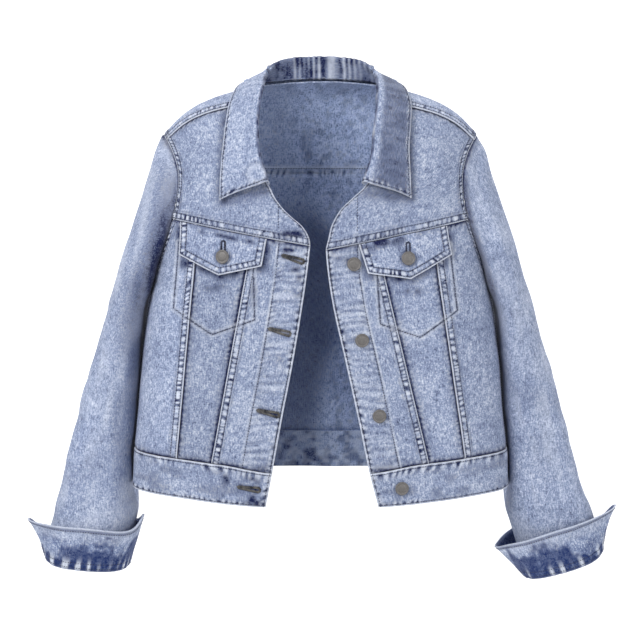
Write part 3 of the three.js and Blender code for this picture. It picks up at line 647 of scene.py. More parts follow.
def sewn_marks(sewing: Sewing, distance: Array, along: Array, seed: int) -> Marks:
    """Relief and colour beside one border.

    A felled strip is a raised band with rounded sides, two stitch grooves and puckers between
    them, and a painted shadow line just past its inner side. A tucked border drops under its
    neighbour, and the cloth beside it takes the strip's painted shadow: near black at the border,
    fading over a few millimetres. A folded edge is worn pale and rounds down over its last millimetre.

    Args:
        sewing: the border's finish.
        distance: distance of each vertex from the border.
        along: place of each vertex along the border.
        seed: number of the border's own noise.

    Returns:
        The marks of each vertex.
    """
    zero = np.zeros_like(distance)
    if sewing.finish is Finish.PLAIN:
        return Marks(zero, zero, zero)
    wave = puckers(along, distance, sewing.period, seed)
    blob, gap = smooth((wave + 0.1) / 0.6), smooth((-wave - 0.05) / 0.55)
    patchy = 0.5 + 0.5 * value_noise(along, distance, 9, seed + 2)
    if sewing.finish is Finish.TUCKED:
        under = smooth((0.35 - distance) / 0.5)
        beside = np.maximum(distance, 0)
        near = bell(beside, 4.5)
        rise = -2.1 * under - 0.35 * near + 0.5 * wave * near
        # Painted shadow of the neighbour's strip: near black at the border and fading out, with darker pucker
        # hollows.
        ink = 1.5 * bell(beside, 1.9) + (0.2 + 0.5 * patchy) * bell(beside, 7.0) + 0.3 * gap * near
        fade = 0.55 * blob * bell(distance - 4.5, 2.2) * patchy
        return Marks(rise, fade * (distance > 0), np.clip(ink, 0, 1))
    felled = sewing.finish is Finish.FELLED
    rows = sewing.rows or (0.45 * sewing.width,)
    strip = smooth((sewing.width + 0.7 - distance) / 1.4)
    if len(rows) > 1:
        core = smooth((distance - rows[0] - 0.2) / 1.0) * smooth((rows[-1] - 0.2 - distance) / 1.0)
    else:
        core = bell(distance - rows[0] - 0.6, 0.36 * sewing.width) * (distance > 1.2)
    grooves = sum((bell(distance - row, 0.95) for row in rows), zero)
    rounding = -0.7 * np.maximum(1 - distance / 1.1, 0) ** 2
    raised = 0.9 if felled else 0.25
    rise = raised * strip + sewing.pucker * wave * core - 0.35 * grooves * strip + rounding
    edge = bell(distance, 1.3)
    fade = 1.15 * edge + blob * core * (0.4 + 0.6 * patchy)
    fade = fade + (0.15 * bell(distance - sewing.width + 0.5, 0.8) if felled else 0)
    ink = grooves * (0.6 + 0.4 * gap) + 1.1 * gap * core * (0.4 + 0.6 * patchy)
    # A painted shadow line just past the felled strip's inner side.
    ink = ink + (0.6 * bell(distance - sewing.width - 1.2, 1.1) * patchy if felled else 0)
    ink = ink * (1 - 0.95 * bell(distance, 1.3))
    return Marks(rise, np.clip(fade * (1 - 0.8 * grooves), 0, 1), np.clip(ink, 0, 1))


def graded(
    length: float, fine: float, coarse: float, bands: Sequence[float], tucks: Sequence[float],
) -> Array:
    """Shares of a length whose steps are fine near both ends and coarse between.

    Args:
        length: the whole length in millimetres.
        fine: step inside the bands.
        coarse: step between them.
        bands: widths of the fine bands at the start and the end.
        tucks: lengths that run on before the start and past the end.

    Returns:
        Rising shares, from minus the first tuck to one plus the second.
    """
    first, last = bands[0] + 2, bands[1] + 2
    middle = length - first - last
    if middle < 2 * coarse:
        places = np.linspace(0, length, max(3, int(round(length / fine)) + 1))
    else:
        parts = (first / fine, middle / coarse, last / fine)
        places = stretches((0, first, length - last, length), [int(math.ceil(n)) + 1 for n in parts])
    before = -np.array([1.0, 0.5, 0.2]) * tucks[0] if tucks[0] else np.zeros(0)
    after = length + np.array([0.2, 0.5, 1.0]) * tucks[1] if tucks[1] else np.zeros(0)
    return np.concatenate([before, places, after]) / length


@dataclass
class Grid:
    """A panel's outer face on its grid, in millimetres, and the way to each border."""

    points: Array
    normals: Array
    to_border: dict[Border, Array]
    marks: Marks | None = None

    def line_at(self, border: Border, distance: float) -> tuple[Array, Array]:
        """Points and normals of the line at a distance from one border.

        Each row is crossed where its measured distance passes the wanted one, by a straight blend
        of the two grid points beside it.

        Args:
            border: the border.
            distance: the wanted distance, in millimetres.

        Returns:
            The line's points and normals.
        """
        across = border in (Border.START, Border.END)
        to = self.to_border[border] if across else self.to_border[border].T
        points = self.points if across else self.points.swapaxes(0, 1)
        normals = self.normals if across else self.normals.swapaxes(0, 1)
        if border in (Border.END, Border.TOP):
            to, points, normals = to[:, ::-1], points[:, ::-1], normals[:, ::-1]
        k = np.clip((to < distance).sum(axis=1), 1, to.shape[1] - 1)
        rows = np.arange(len(to))
        low, high = to[rows, k - 1], to[rows, k]
        t = np.clip((distance - low) / np.maximum(high - low, 1e-6), 0, 1)[:, None]
        return (
            mix(points[rows, k - 1], points[rows, k], t),
            unit(mix(normals[rows, k - 1], normals[rows, k], t)),
        )


def grid_of(surface: Surface, us: Array, vs: Array, flip: bool = False) -> Grid:
    """Evaluates a surface on a grid, with normals and measured distances to its borders.

    A distance is the length run along the grid's row or column, less the border's own.

    Args:
        surface: function of u and v.
        us: steps of u, where 0 and 1 are the borders and tucks lie beyond.
        vs: steps of v.
        flip: whether the shown face looks against the surface's own normal.

    Returns:
        The grid.
    """
    u, v = np.meshgrid(us, vs)
    points = surface(u, v)
    normals = surface_normal(surface, u, v)
    if flip:
        normals = -normals
    run_u = np.cumsum(np.linalg.norm(np.diff(points, axis=1, prepend=points[:, :1]), axis=-1), axis=1)
    run_v = np.cumsum(np.linalg.norm(np.diff(points, axis=0, prepend=points[:1]), axis=-1), axis=0)
    start, end, foot, top = (int(np.argmin(np.abs(steps - at))) for steps in (us, vs) for at in (0, 1))
    return Grid(points, normals, {
        Border.START: run_u - run_u[:, start:start + 1],
        Border.END: run_u[:, end:end + 1] - run_u,
        Border.FOOT: run_v - run_v[foot:foot + 1],
        Border.TOP: run_v[top:top + 1] - run_v,
    })


@dataclass
class Patch:
    """One gridded wall of a piece: its surface, steps and extra marks.

    Attributes:
        surface: function of u and v, in millimetres.
        sewing: the finish of each sewn border.
        size: its width and height in millimetres, for the steps.
        flip: whether the shown face looks against the grid's own normal.
        outset: extra height of the outer face, by u and v.
        extra: marks worked out from the points.
        closed: whether u goes all the way round.
        steps: steps of u and v that replace the graded ones.
        fine: step beside a sewn border.
        coarse: step away from the borders.
    """

    surface: Surface
    sewing: dict[Border, Sewing]
    size: tuple[float, float]
    flip: bool = False
    outset: Callable[[Array, Array], Array] | None = None
    extra: Callable[[Array], Marks] | None = None
    closed: bool = False
    steps: tuple[Array, Array] | None = None
    fine: float = 1.5
    coarse: float = 3.6


SEWN_STEP = 2.0
PUCKER_STEP = 2.2


def steps_of(patch: Patch) -> tuple[Array, Array]:
    """The patch's steps of u and v, fine beside each sewn border and along it."""
    if patch.steps is not None:
        return patch.steps
    sides = [patch.sewing.get(border, PLAIN) for border in (Border.START, Border.END)]
    ends = [patch.sewing.get(border, PLAIN) for border in (Border.FOOT, Border.TOP)]

    def steps(length: float, coarse: float, pair: list[Sewing]) -> Array:
        """Graded steps between two borders."""
        return graded(length, patch.fine, coarse, [s.reach for s in pair], [s.tuck for s in pair])

    width, height = patch.size
    us = steps(width, patch.coarse, sides)
    if any(s.reach for s in ends) and len(us) < math.ceil(width / PUCKER_STEP):
        us = steps(width, PUCKER_STEP, sides)
    return us, steps(height, SEWN_STEP if any(s.reach for s in sides) else patch.coarse, ends)


def dress(patch: Patch, seed: int) -> Grid:
    """Works out a patch's grid with its relief and its marks.

    Each point moves out along its normal by the sum of rumple, sewing, extra marks and outset.

    Args:
        patch: the wall's part.
        seed: number of its noises.

    Returns:
        The grid with its marks.
    """
    us, vs = steps_of(patch)
    grid = grid_of(patch.surface, us, vs, patch.flip)
    x, z = grid.points[..., 0], grid.points[..., 2]
    rumple = 0.5 * value_noise(x, z, 34, 900 + seed) + 0.22 * value_noise(x, z, 13, 950 + seed)
    marks = Marks(rumple, np.zeros_like(x), np.zeros_like(x))
    for k, (border, sewing) in enumerate(patch.sewing.items()):
        if border in (Border.START, Border.END):
            along = grid.to_border[Border.FOOT]
        else:
            along = grid.to_border[Border.START] if patch.closed else x
        marks.add(sewn_marks(sewing, grid.to_border[border], along, seed * 31 + k * 7))
    if patch.extra is not None:
        marks.add(patch.extra(grid.points))
    out = marks.rise
    if patch.outset is not None:
        u, v = np.meshgrid(us, vs)
        out = out + patch.outset(u, v)
    grid.points = grid.points + grid.normals * out[..., None]
    if patch.closed:
        grid.points[:, -1] = grid.points[:, 0]
    grid.marks = marks
    return grid


# How much of the outside's wear, and of its dye and painted shade, shows inside, where a piece has no inside
# colouring of its own
INNER_FADE = 0.6
INNER_DYE_AND_SHADE = 0.35
# A curved piece of several patches is cut this much wider than it reaches
CURVE_ALLOWANCE = 1.12


@dataclass
class ClothMesh:
    """Joins dressed patches into one closed wall with colours by vertex.

    Attributes:
        node: the CAD node that the wall stands for.
        thickness: distance between its faces, in millimetres.
        patches: its gridded parts.
        tone: how much lighter the whole piece is.
        seed: number of its noises.
        lining: wear, dye, tone and painted shadow of its inside, by place.
        grids: the dressed patches, once built.
    """

    node: str
    thickness: float
    patches: list[Patch]
    tone: float = 0.0
    seed: int = 1
    lining: Callable[[Array], tuple[Array, Array, Array]] | None = None
    grids: list[Grid] = field(default_factory=list)

    def build(self, materials: Sequence[Material]) -> Piece:
        """Makes the wall's object.

        Corners that two patches share are welded by rounding them to a hundredth of a millimetre.
        The inner face is the outer one moved in by the thickness, less the relief, and an edge
        strip joins them along every border that only one face uses.

        Args:
            materials: the outer and the inner finish.

        Returns:
            The new object, in metres, at the origin.
        """
        self.grids = [dress(p, self.seed + 3 * k) for k, p in enumerate(self.patches)]
        outer, inner, faces, fade, ink, uvs, base = [], [], [], [], [], [], 0
        for patch, grid in zip(self.patches, self.grids):
            rows, cols = grid.points.shape[:2]
            ids = base + np.arange(rows * cols).reshape(rows, cols)
            quads = grid_quads(ids)
            faces.append(quads[:, ::-1] if patch.flip else quads)
            outer.append(grid.points.reshape(-1, 3))
            depth = self.thickness + 0.45 * np.maximum(grid.marks.rise, 0)
            inner.append((grid.points - grid.normals * depth[..., None]).reshape(-1, 3))
            fade.append(grid.marks.fade.ravel())
            ink.append(grid.marks.ink.ravel())
            uv = [grid.to_border[border].ravel() for border in (Border.START, Border.FOOT)]
            uvs.append(np.stack(uv, -1))
            base += rows * cols
        places, quads = np.concatenate(outer), np.concatenate(faces)
        _, keep, weld = np.unique(np.round(places, 2), axis=0, return_index=True, return_inverse=True)
        weld = weld.ravel()
        quads = weld[quads]
        outside, inside = places[keep], np.concatenate(inner)[keep]
        count = len(outside)
        edges = np.concatenate([quads[:, [k, (k + 1) % 4]] for k in range(4)])
        edges = edges[edges[:, 0] != edges[:, 1]]
        key, back = edges[:, 0] * count + edges[:, 1], edges[:, 1] * count + edges[:, 0]
        rim = edges[~np.isin(back, key)]
        rim_quads = np.stack([rim[:, 1], rim[:, 0], rim[:, 0] + count, rim[:, 1] + count], axis=-1)
        all_quads = np.concatenate([quads, quads[:, ::-1] + count, rim_quads])
        points = np.concatenate([outside, inside]) * MM
        obj = mesh_object(self.node + "_cloth", points, all_quads, *materials)
        shown = (np.concatenate(fade)[keep], np.concatenate(ink)[keep], np.full(count, self.tone))
        hidden = (INNER_FADE * shown[0], INNER_DYE_AND_SHADE * shown[1], shown[2])
        if self.lining:
            hidden = self.lining(inside)
        for name, outside_value, inside_value in zip(("fade", "ink", "tone"), shown, hidden):
            set_floats(obj, name, np.concatenate([outside_value, inside_value]))
        set_uv(obj, np.tile(np.concatenate(uvs)[keep], (2, 1)) * MM)
        index = np.zeros(len(obj.data.polygons), np.int32)
        index[len(quads): 2 * len(quads)] = 1
        obj.data.polygons.foreach_set("material_index", index)
        return obj

    def cut(self) -> tuple[tuple[float, float], float]:
        """The piece's flat cut in metres: its longest row and column, and the area of its cells.

        A piece of several patches is as wide as its reach along X with an allowance for its curve.

        Returns:
            The width and the height, and the area.
        """
        width = height = area = 0.0
        for grid in self.grids:
            p = grid.points * MM
            du, dv = np.diff(p, axis=1), np.diff(p, axis=0)
            area += float(np.linalg.norm(np.cross(du[:-1], dv[:, :-1]), axis=-1).sum())
            width = max(width, float(np.linalg.norm(du, axis=-1).sum(axis=1).max()))
            height = max(height, float(np.linalg.norm(dv, axis=-1).sum(axis=0).max()))
        if len(self.grids) > 1:
            x = np.concatenate([grid.points[..., 0].ravel() for grid in self.grids])
            width = max(width, float(np.ptp(x)) * MM * CURVE_ALLOWANCE)
            height = max(height, area / width)
        return (width, height), min(area, width * height)


def grid_quads(ids: Array) -> Array:
    """Four-cornered faces between the rows and the columns of a grid of vertex numbers."""
    return np.stack([ids[:-1, :-1], ids[:-1, 1:], ids[1:, 1:], ids[1:, :-1]], axis=-1).reshape(-1, 4)


def mesh_object(
    name: str, points: Array, faces: Array | list[list[int]], *materials: Material,
) -> Piece:
    """Makes a smooth shaded object.

    Args:
        name: name of the object and its mesh.
        points: its points in metres.
        faces: their numbers by face; one given twice in a row of an array is taken once.
        materials: its finishes, if any.

    Returns:
        The new object, at the origin.
    """
    if isinstance(faces, Array):
        pinched = (faces == np.roll(faces, -1, axis=1)).any()
        faces = faces.tolist()
        if pinched:
            faces = [list(dict.fromkeys(face)) for face in faces]
    mesh = bpy.data.meshes.new(name)
    mesh.from_pydata(points.tolist(), [], faces)
    mesh.validate()
    mesh.polygons.foreach_set("use_smooth", np.ones(len(mesh.polygons), bool))
    mesh.update()
    for material in materials:
        mesh.materials.append(material)
    obj = bpy.data.objects.new(name, mesh)
    bpy.context.scene.collection.objects.link(obj)
    return obj


def set_floats(obj: Piece, name: str, values: Array) -> None:
    """Writes one number by vertex."""
    layer = obj.data.attributes.new(name=name, type="FLOAT", domain="POINT")
    layer.data.foreach_set("value", np.ascontiguousarray(values, np.float32))


def set_uv(obj: Piece, places: Array) -> None:
    """Writes a UV map named cloth from a place by vertex, in metres."""
    layer = obj.data.uv_layers.new(name="cloth")
    corners = np.zeros(len(obj.data.loops), np.int32)
    obj.data.loops.foreach_get("vertex_index", corners)
    layer.data.foreach_set("uv", np.ascontiguousarray(places[corners], np.float32).ravel())


def place(obj: Piece, slot: str, *nodes: str) -> Piece:
    """Rides a piece on the jacket's one body and hides what it stands for."""
    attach(obj, "root")
    if nodes:
        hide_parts(*nodes)
    return obj


# Materials

class Nodes:
    """Short calls for building a node tree."""

    def __init__(self, tree: Tree) -> None:
        """Keeps the tree."""
        self.tree = tree

    def add(self, kind: str, **values: object) -> Node:
        """Adds a node, and sets its properties and, by name, its inputs."""
        node = self.tree.nodes.new(kind)
        self.fill(node, **values)
        return node

    def fill(self, node: Node, **values: object) -> None:
        """Sets a node's properties and, by name, its inputs."""
        for name, value in values.items():
            if hasattr(node, name):
                setattr(node, name, value)
            else:
                self.feed(node.inputs[name.replace("_", " ")], value)

    def feed(self, socket: Socket, value: object) -> None:
        """Links a socket into an input, or sets a plain value."""
        if isinstance(value, Socket):
            self.tree.links.new(value, socket)
        else:
            socket.default_value = value

    def math(self, operation: str, *values: object, clamp: bool = False) -> Socket:
        """A Math node's result."""
        node = self.add("ShaderNodeMath", operation=operation, use_clamp=clamp)
        for socket, value in zip(node.inputs, values):
            self.feed(socket, value)
        return node.outputs[0]

    def swing(self, value: object, strength: float) -> Socket:
        """A value about a half made one about 0: less a half, times a strength."""
        return self.math("MULTIPLY", self.math("SUBTRACT", value, 0.5), strength)

    def colour_mix(
        self, factor: object, a: object, b: object, blend: str = "MIX",
    ) -> Socket:
        """A colour Mix node's result."""
        node = self.add("ShaderNodeMix", data_type="RGBA", blend_type=blend, clamp_factor=True)
        for k, value in ((0, factor), (6, a), (7, b)):
            self.feed(node.inputs[k], value)
        return node.outputs[2]

    def place(self) -> Socket:
        """The Object coordinates."""
        return self.add("ShaderNodeTexCoord").outputs["Object"]

    def noise(
        self, vector: object, scale: float, detail: float = 2.0, rough: float = 0.5,
    ) -> Socket:
        """A Noise node's value."""
        values = {"Vector": vector, "Scale": scale, "Detail": detail, "Roughness": rough}
        return self.add("ShaderNodeTexNoise", **values).outputs[0]

    def scaled(
        self, vector: object, scale: tuple[float, float, float], turn: float = 0.0,
    ) -> Socket:
        """A Mapping node's result, turned about Z and scaled."""
        values = {"Vector": vector, "Rotation": (0, 0, turn), "Scale": scale}
        return self.add("ShaderNodeMapping", **values).outputs[0]

    def ramp(self, value: object, low: float, high: float) -> Socket:
        """A value moved from low..high to 0..1, clamped."""
        node = self.add("ShaderNodeMapRange")
        for k, given in enumerate((value, low, high)):
            self.feed(node.inputs[k], given)
        return node.outputs[0]


def new_material(name: str) -> tuple[Material, Nodes, Node]:
    """A new material, the calls for its nodes, and its shader."""
    material = bpy.data.materials.new(name)
    material.use_nodes = True
    return material, Nodes(material.node_tree), material.node_tree.nodes["Principled BSDF"]


def from_srgb(red: float, green: float, blue: float) -> tuple[float, float, float, float]:
    """A linear colour from 0 to 255 display values."""
    values = [c / 255 for c in (red, green, blue)]
    return (*[c / 12.92 if c <= 0.04045 else ((c + 0.055) / 1.055) ** 2.4 for c in values], 1.0)


def washed_twill() -> Tree:
    """Node group of acid-washed twill, used by every denim finish.

    The dye is patchy at three sizes and streaked by slubs along both threads. It fades by the
    fade value, which is wear, and darkens by the ink value, which holds both dye kept by the wash
    and painted shade; the tone value scales it, and holds painted shadow inside the back and the
    band. The weave is a diagonal wave of the UV map.
    """
    tree = bpy.data.node_groups.new("washed twill", "ShaderNodeTree")
    for name, kind, value in (
        ("Dye", "NodeSocketColor", from_srgb(148, 160, 190)),
        ("Deep", "NodeSocketColor", from_srgb(36, 50, 92)),
        ("Faded", "NodeSocketColor", from_srgb(216, 223, 238)),
        ("Mottle", "NodeSocketFloat", 1.0),
        ("Patchiness", "NodeSocketFloat", 0.0),
        ("Ink Strength", "NodeSocketFloat", 1.0),
    ):
        socket = tree.interface.new_socket(name, in_out="INPUT", socket_type=kind)
        socket.default_value = value
    for name, kind in (("Color", "Color"), ("Height", "Float"), ("Roughness", "Float")):
        tree.interface.new_socket(name, in_out="OUTPUT", socket_type="NodeSocket" + kind)
    n = Nodes(tree)
    given = tree.nodes.new("NodeGroupInput").outputs
    out = tree.nodes.new("NodeGroupOutput")
    place_in = n.place()
    uv = n.add("ShaderNodeUVMap", uv_map="cloth").outputs[0]
    fade, ink, tone = (
        n.add("ShaderNodeAttribute", attribute_name=name).outputs["Fac"] for name in ("fade", "ink", "tone")
    )
    fine = n.noise(place_in, 460, 3, 0.7)
    middle = n.noise(place_in, 150, 3, 0.62)
    broad = n.noise(place_in, 26, 2, 0.5)
    warp = n.noise(n.scaled(uv, (760, 130, 1)), 1, 3, 0.65)
    weft = n.noise(n.scaled(uv, (160, 820, 1)), 1, 3, 0.65)
    mottle = 0.0
    for grain, share in ((fine, 4.0), (middle, 2.0), (broad, 1.2), (warp, 3.4), (weft, 1.4)):
        mottle = n.math("ADD", mottle, n.swing(grain, share))
    mottle = n.math("MULTIPLY", mottle, given["Mottle"])
    up = n.ramp(mottle, 0.0, 1.5)
    down = n.ramp(mottle, 0.0, -2.1)
    colour = n.colour_mix(up, given["Dye"], given["Faded"])
    colour = n.colour_mix(down, colour, given["Deep"])
    patches = n.ramp(n.noise(place_in, 46, 4, 0.68), 0.47, 0.6)
    colour = n.colour_mix(n.math("MULTIPLY", patches, given["Patchiness"]), colour, given["Deep"])
    broken = n.math("ADD", n.swing(middle, 1.6), 1.0)
    broken = n.math("ADD", n.swing(fine, 2.6), broken)
    # Darkening by the ink value: real dye and painted shade alike.
    dark = n.math("MULTIPLY", n.math("MULTIPLY", ink, broken), given["Ink Strength"], clamp=True)
    colour = n.colour_mix(dark, colour, given["Deep"])
    worn = n.math("MULTIPLY", fade, n.math("ADD", n.swing(fine, 1.2), 0.95), clamp=True)
    colour = n.colour_mix(worn, colour, given["Faded"])
    # The tone multiplies the colour: each piece's own tone, and the painted shadow inside the back and the
    # band.
    lit = n.math("ADD", tone, 1.0)
    shade = n.add("ShaderNodeCombineColor")
    for socket in shade.inputs[:3]:
        n.feed(socket, lit)
    colour = n.colour_mix(1.0, colour, shade.outputs[0], "MULTIPLY")
    twill = n.add(
        "ShaderNodeTexWave", wave_type="BANDS", bands_direction="X", wave_profile="SIN",
        Vector=n.scaled(uv, (1, 1, 1), 0.96), Scale=290, Distortion=0.6, Detail=1.0,
    ).outputs["Fac"]
    colour = n.colour_mix(n.math("MULTIPLY", n.math("SUBTRACT", 1.0, twill), 0.16), colour, given["Deep"])
    height = n.math("ADD", n.math("MULTIPLY", twill, 0.5), n.math("MULTIPLY", mottle, 0.35))
    n.feed(out.inputs["Color"], colour)
    n.feed(out.inputs["Height"], height)
    n.feed(out.inputs["Roughness"], n.math("SUBTRACT", 0.93, n.math("MULTIPLY", worn, 0.08)))
    return tree


@dataclass(frozen=True)
class DenimFinish:
    """One denim finish: its colours in display values and how uneven it is."""

    name: str
    dye: tuple[int, int, int]
    deep: tuple[int, int, int]
    faded: tuple[int, int, int]
    mottle: float = 1.0
    patchiness: float = 0.0
    ink: float = 1.0

    def material(self, twill: Tree) -> Material:
        """Builds the material from the shared twill group."""
        material, n, shader = new_material(self.name)
        group = n.add("ShaderNodeGroup", node_tree=twill)
        for socket, colour in (("Dye", self.dye), ("Deep", self.deep), ("Faded", self.faded)):
            group.inputs[socket].default_value = from_srgb(*colour)
        n.fill(group, Mottle=self.mottle, Patchiness=self.patchiness, Ink_Strength=self.ink)
        bump = n.add("ShaderNodeBump", Strength=0.55, Distance=0.0006, Height=group.outputs["Height"])
        n.fill(
            shader, Base_Color=group.outputs["Color"], Roughness=group.outputs["Roughness"],
            Normal=bump.outputs[0], Sheen_Weight=0.12, Sheen_Roughness=0.5, Specular_IOR_Level=0.2,
        )
        return material


@dataclass(frozen=True)
class ThreadFinish:
    """Sewing thread: a matt colour that varies a little along its length."""

    name: str
    light: tuple[int, int, int]
    dark: tuple[int, int, int]

    def material(self) -> Material:
        """Builds the thread's material."""
        material, n, shader = new_material(self.name)
        spot = n.noise(n.place(), 160, 2, 0.6)
        colour = n.colour_mix(n.ramp(spot, 0.35, 0.65), from_srgb(*self.dark), from_srgb(*self.light))
        bump = n.add("ShaderNodeBump", Strength=0.4, Distance=0.0002, Height=n.noise(n.place(), 2600, 1))
        n.fill(shader, Base_Color=colour, Normal=bump.outputs[0], Roughness=0.8)
        return material


@dataclass(frozen=True)
class ButtonFinish:
    """Matt worn metal of the tack buttons."""

    name: str = "worn button metal"

    def material(self) -> Material:
        """Builds the metal, mottled darker and lighter by noise, and scuffed on its face."""
        material, n, shader = new_material(self.name)
        scuff = n.noise(n.place(), 700, 4, 0.7)
        dark, light = from_srgb(98, 96, 96), from_srgb(126, 123, 121)
        rough = n.math("ADD", n.math("MULTIPLY", scuff, 0.25), 0.42)
        bump = n.add("ShaderNodeBump", Strength=0.25, Distance=0.0002, Height=scuff)
        n.fill(
            shader, Base_Color=n.colour_mix(n.ramp(scuff, 0.35, 0.7), dark, light), Roughness=rough,
            Metallic=0.4, Normal=bump.outputs[0],
        )
        return material


@dataclass
class Finishes:
    """Every material of the jacket."""

    outside: Material
    inside: Material
    cuff: Material
    flap: Material
    thread: Material
    hole_thread: Material
    metal: Material

    @classmethod
    def make(cls) -> "Finishes":
        """Builds them all from the one twill group."""
        twill = washed_twill()
        rows = {
            "outside": ("washed denim", (149, 163, 195), (20, 30, 72), (224, 230, 243), 1.2),
            "inside": ("denim inside", (172, 190, 226), (26, 42, 92), (216, 226, 244), 1.35),
            "cuff": ("cuff denim", (142, 158, 194), (24, 46, 100), (222, 229, 243), 1.5, 0.3),
            "flap": ("flap denim", (151, 165, 197), (20, 28, 70), (230, 235, 246), 1.25),
        }
        return cls(
            **{name: DenimFinish(*row).material(twill) for name, row in rows.items()},
            thread=ThreadFinish("seam thread", (56, 62, 86), (16, 20, 40)).material(),
            hole_thread=ThreadFinish("buttonhole thread", (100, 98, 96), (28, 30, 38)).material(),
            metal=ButtonFinish().material(),
        )


# Stitching

@dataclass
class StitchBook:
    """Collects stitch rows, and makes each group of them one mesh of small spindles."""

    pitch: float = 3.3
    length: float = 2.3
    radius: float = 0.5
    rows: dict[str, list[tuple[Array, Array]]] = field(default_factory=dict)

    def sew(self, group: str, points: Array, normals: Array, lift: float = 0.12) -> None:
        """Adds one row of stitches along a line of points, in millimetres.

        The line's running length is divided by the pitch, and each stitch lies at the middle of
        its share, along the line's direction there.

        Args:
            group: name of the mesh that they join.
            points: the line.
            normals: outward directions at its points.
            lift: height of the stitches over the line.
        """
        run = running_length(points)
        count = int(run[-1] / self.pitch)
        if count < 2:
            return
        at = (np.arange(count) + 0.5) * run[-1] / count

        def taken(values: Array, where: Array) -> Array:
            """Values read at a running length."""
            return np.stack([np.interp(where, run, values[:, k]) for k in range(3)], -1)

        normal = unit(taken(normals, at))
        along = unit(taken(points, at + self.length / 2) - taken(points, at - self.length / 2))
        frame = np.stack([along, np.cross(normal, along), normal], axis=1)
        self.rows.setdefault(group, []).append((taken(points, at) + normal * lift, frame))

    def build(self, material: Material) -> None:
        """Makes one object for each group: a spindle of two square rings and two ends a stitch."""
        turns = np.arange(4) * PI / 2 + PI / 4
        ring = np.stack([np.zeros(4), np.cos(turns) * 1.15, np.sin(turns) * 0.8], -1) * self.radius
        half = self.length / 2
        first, second = ring + (-0.55 * half, 0, 0), ring + (0.55 * half, 0, 0)
        template = np.concatenate([[[-half, 0, -0.25]], first, second, [[half, 0, -0.25]]])
        k = np.arange(4)
        nxt = (k + 1) % 4
        triangles = np.concatenate([
            np.stack([np.zeros(4, int), 1 + nxt, 1 + k], -1),
            np.stack([1 + k, 1 + nxt, 5 + nxt], -1),
            np.stack([1 + k, 5 + nxt, 5 + k], -1),
            np.stack([5 + k, 5 + nxt, np.full(4, 9)], -1),
        ])
        for group, rows in self.rows.items():
            centres = np.concatenate([c for c, _ in rows])
            frames = np.concatenate([f for _, f in rows])
            points = centres[:, None] + np.einsum("pk,nkc->npc", template, frames)
            faces = triangles[None] + (np.arange(len(centres)) * len(template))[:, None, None]
            obj = mesh_object(group, points.reshape(-1, 3) * MM, faces.reshape(-1, 3), material)
            place(obj, "denim")
            LOG.info("%s: %d stitches", group, len(centres))


@dataclass
class Workshop:
    """What every sub-assembly needs: the finishes and the stitch book."""

    finishes: Finishes
    stitches: StitchBook = field(default_factory=StitchBook)

    def sew_borders(self, cloth: ClothMesh, group: str) -> None:
        """Stitches the rows of every sewn border of a piece."""
        for patch, grid in zip(cloth.patches, cloth.grids):
            for border, sewing in patch.sewing.items():
                for row in sewing.rows:
                    points, normals = grid.line_at(border, row)
                    self.stitches.sew(group, points, normals)
                    if sewing.both_faces:
                        back = points - normals * (cloth.thickness + 0.55)
                        self.stitches.sew(group, back, -normals)

    def make(
        self, cloth: ClothMesh, group: str, slot: str = "denim", held: str = "hung",
        materials: Sequence[Material] | None = None,
    ) -> None:
        """Builds a cloth piece in its node's place, works out and logs its cut, and stitches it.

        Args:
            cloth: the piece.
            group: name of the mesh that its stitches join.
            slot: the part's finish, passed on to place.
            held: how its cloth is held; not used.
            materials: its outer and inner finish, where they aren't the usual ones.
        """
        obj = cloth.build(materials or [self.finishes.outside, self.finishes.inside])
        place(obj, slot, cloth.node)
        flat, area = cloth.cut()
        self.sew_borders(cloth, group)
        LOG.info("%s: %d faces, cut %.3f x %.3f m, %.4f m2", obj.name, len(obj.data.polygons), *flat, area)


def outline_distance(x: Array, z: Array, corners: Sequence[tuple[float, float]]) -> tuple[Array, Array]:
    """Distance from each place to an open outline, and the running length of the nearest point.

    For each straight stretch, the place is dropped onto it, and the shortest drop is kept.

    Args:
        x: distances of the places from the middle.
        z: their heights.
        corners: the outline's corners in order.

    Returns:
        The distance of each place, and how far along the outline its nearest point lies.
    """
    best = np.full(np.shape(x), 1e9)
    along = np.zeros(np.shape(x))
    run = 0.0
    for (ax, az), (bx, bz) in zip(corners, corners[1:]):
        length = math.hypot(bx - ax, bz - az)
        t = np.clip(((x - ax) * (bx - ax) + (z - az) * (bz - az)) / length**2, 0, 1)
        gap = np.hypot(x - ax - t * (bx - ax), z - az - t * (bz - az))
        along = np.where(gap < best, run + t * length, along)
        best = np.minimum(best, gap)
        run += length
    return best, along


# Indigo blotches that the wash left on the fronts: place, reach along X and Z, and strength
BLOTCHES = Table("x z reach_x reach_z ink", (
    (-33, -170, 17, 5, 0.95), (-24, -222, 5, 9, 0.8), (-30, -212, 9, 4, 0.6), (-81, -243, 4, 14, 0.85),
    (-166, -208, 9, 7, 0.75), (92, -176, 30, 5, 0.8), (150, -205, 8, 8, 0.6), (30, -200, 14, 5, 0.7),
    (-128, -236, 14, 5, 0.6), (110, -240, 16, 5, 0.6), (-60, -455, 26, 6, 0.4), (96, -300, 5, 20, 0.4),
    (-82, -500, 13, 10, 1.0), (-96, -482, 12, 6, 0.9), (-84, -474, 14, 7, 0.7), (-117, -474, 5, 8, 0.8),
    (-39, -189, 12, 5, 0.7), (-27, -240, 6, 7, 0.6), (-118, -208, 30, 5, 0.5), (-48, -330, 8, 12, 0.35),
))


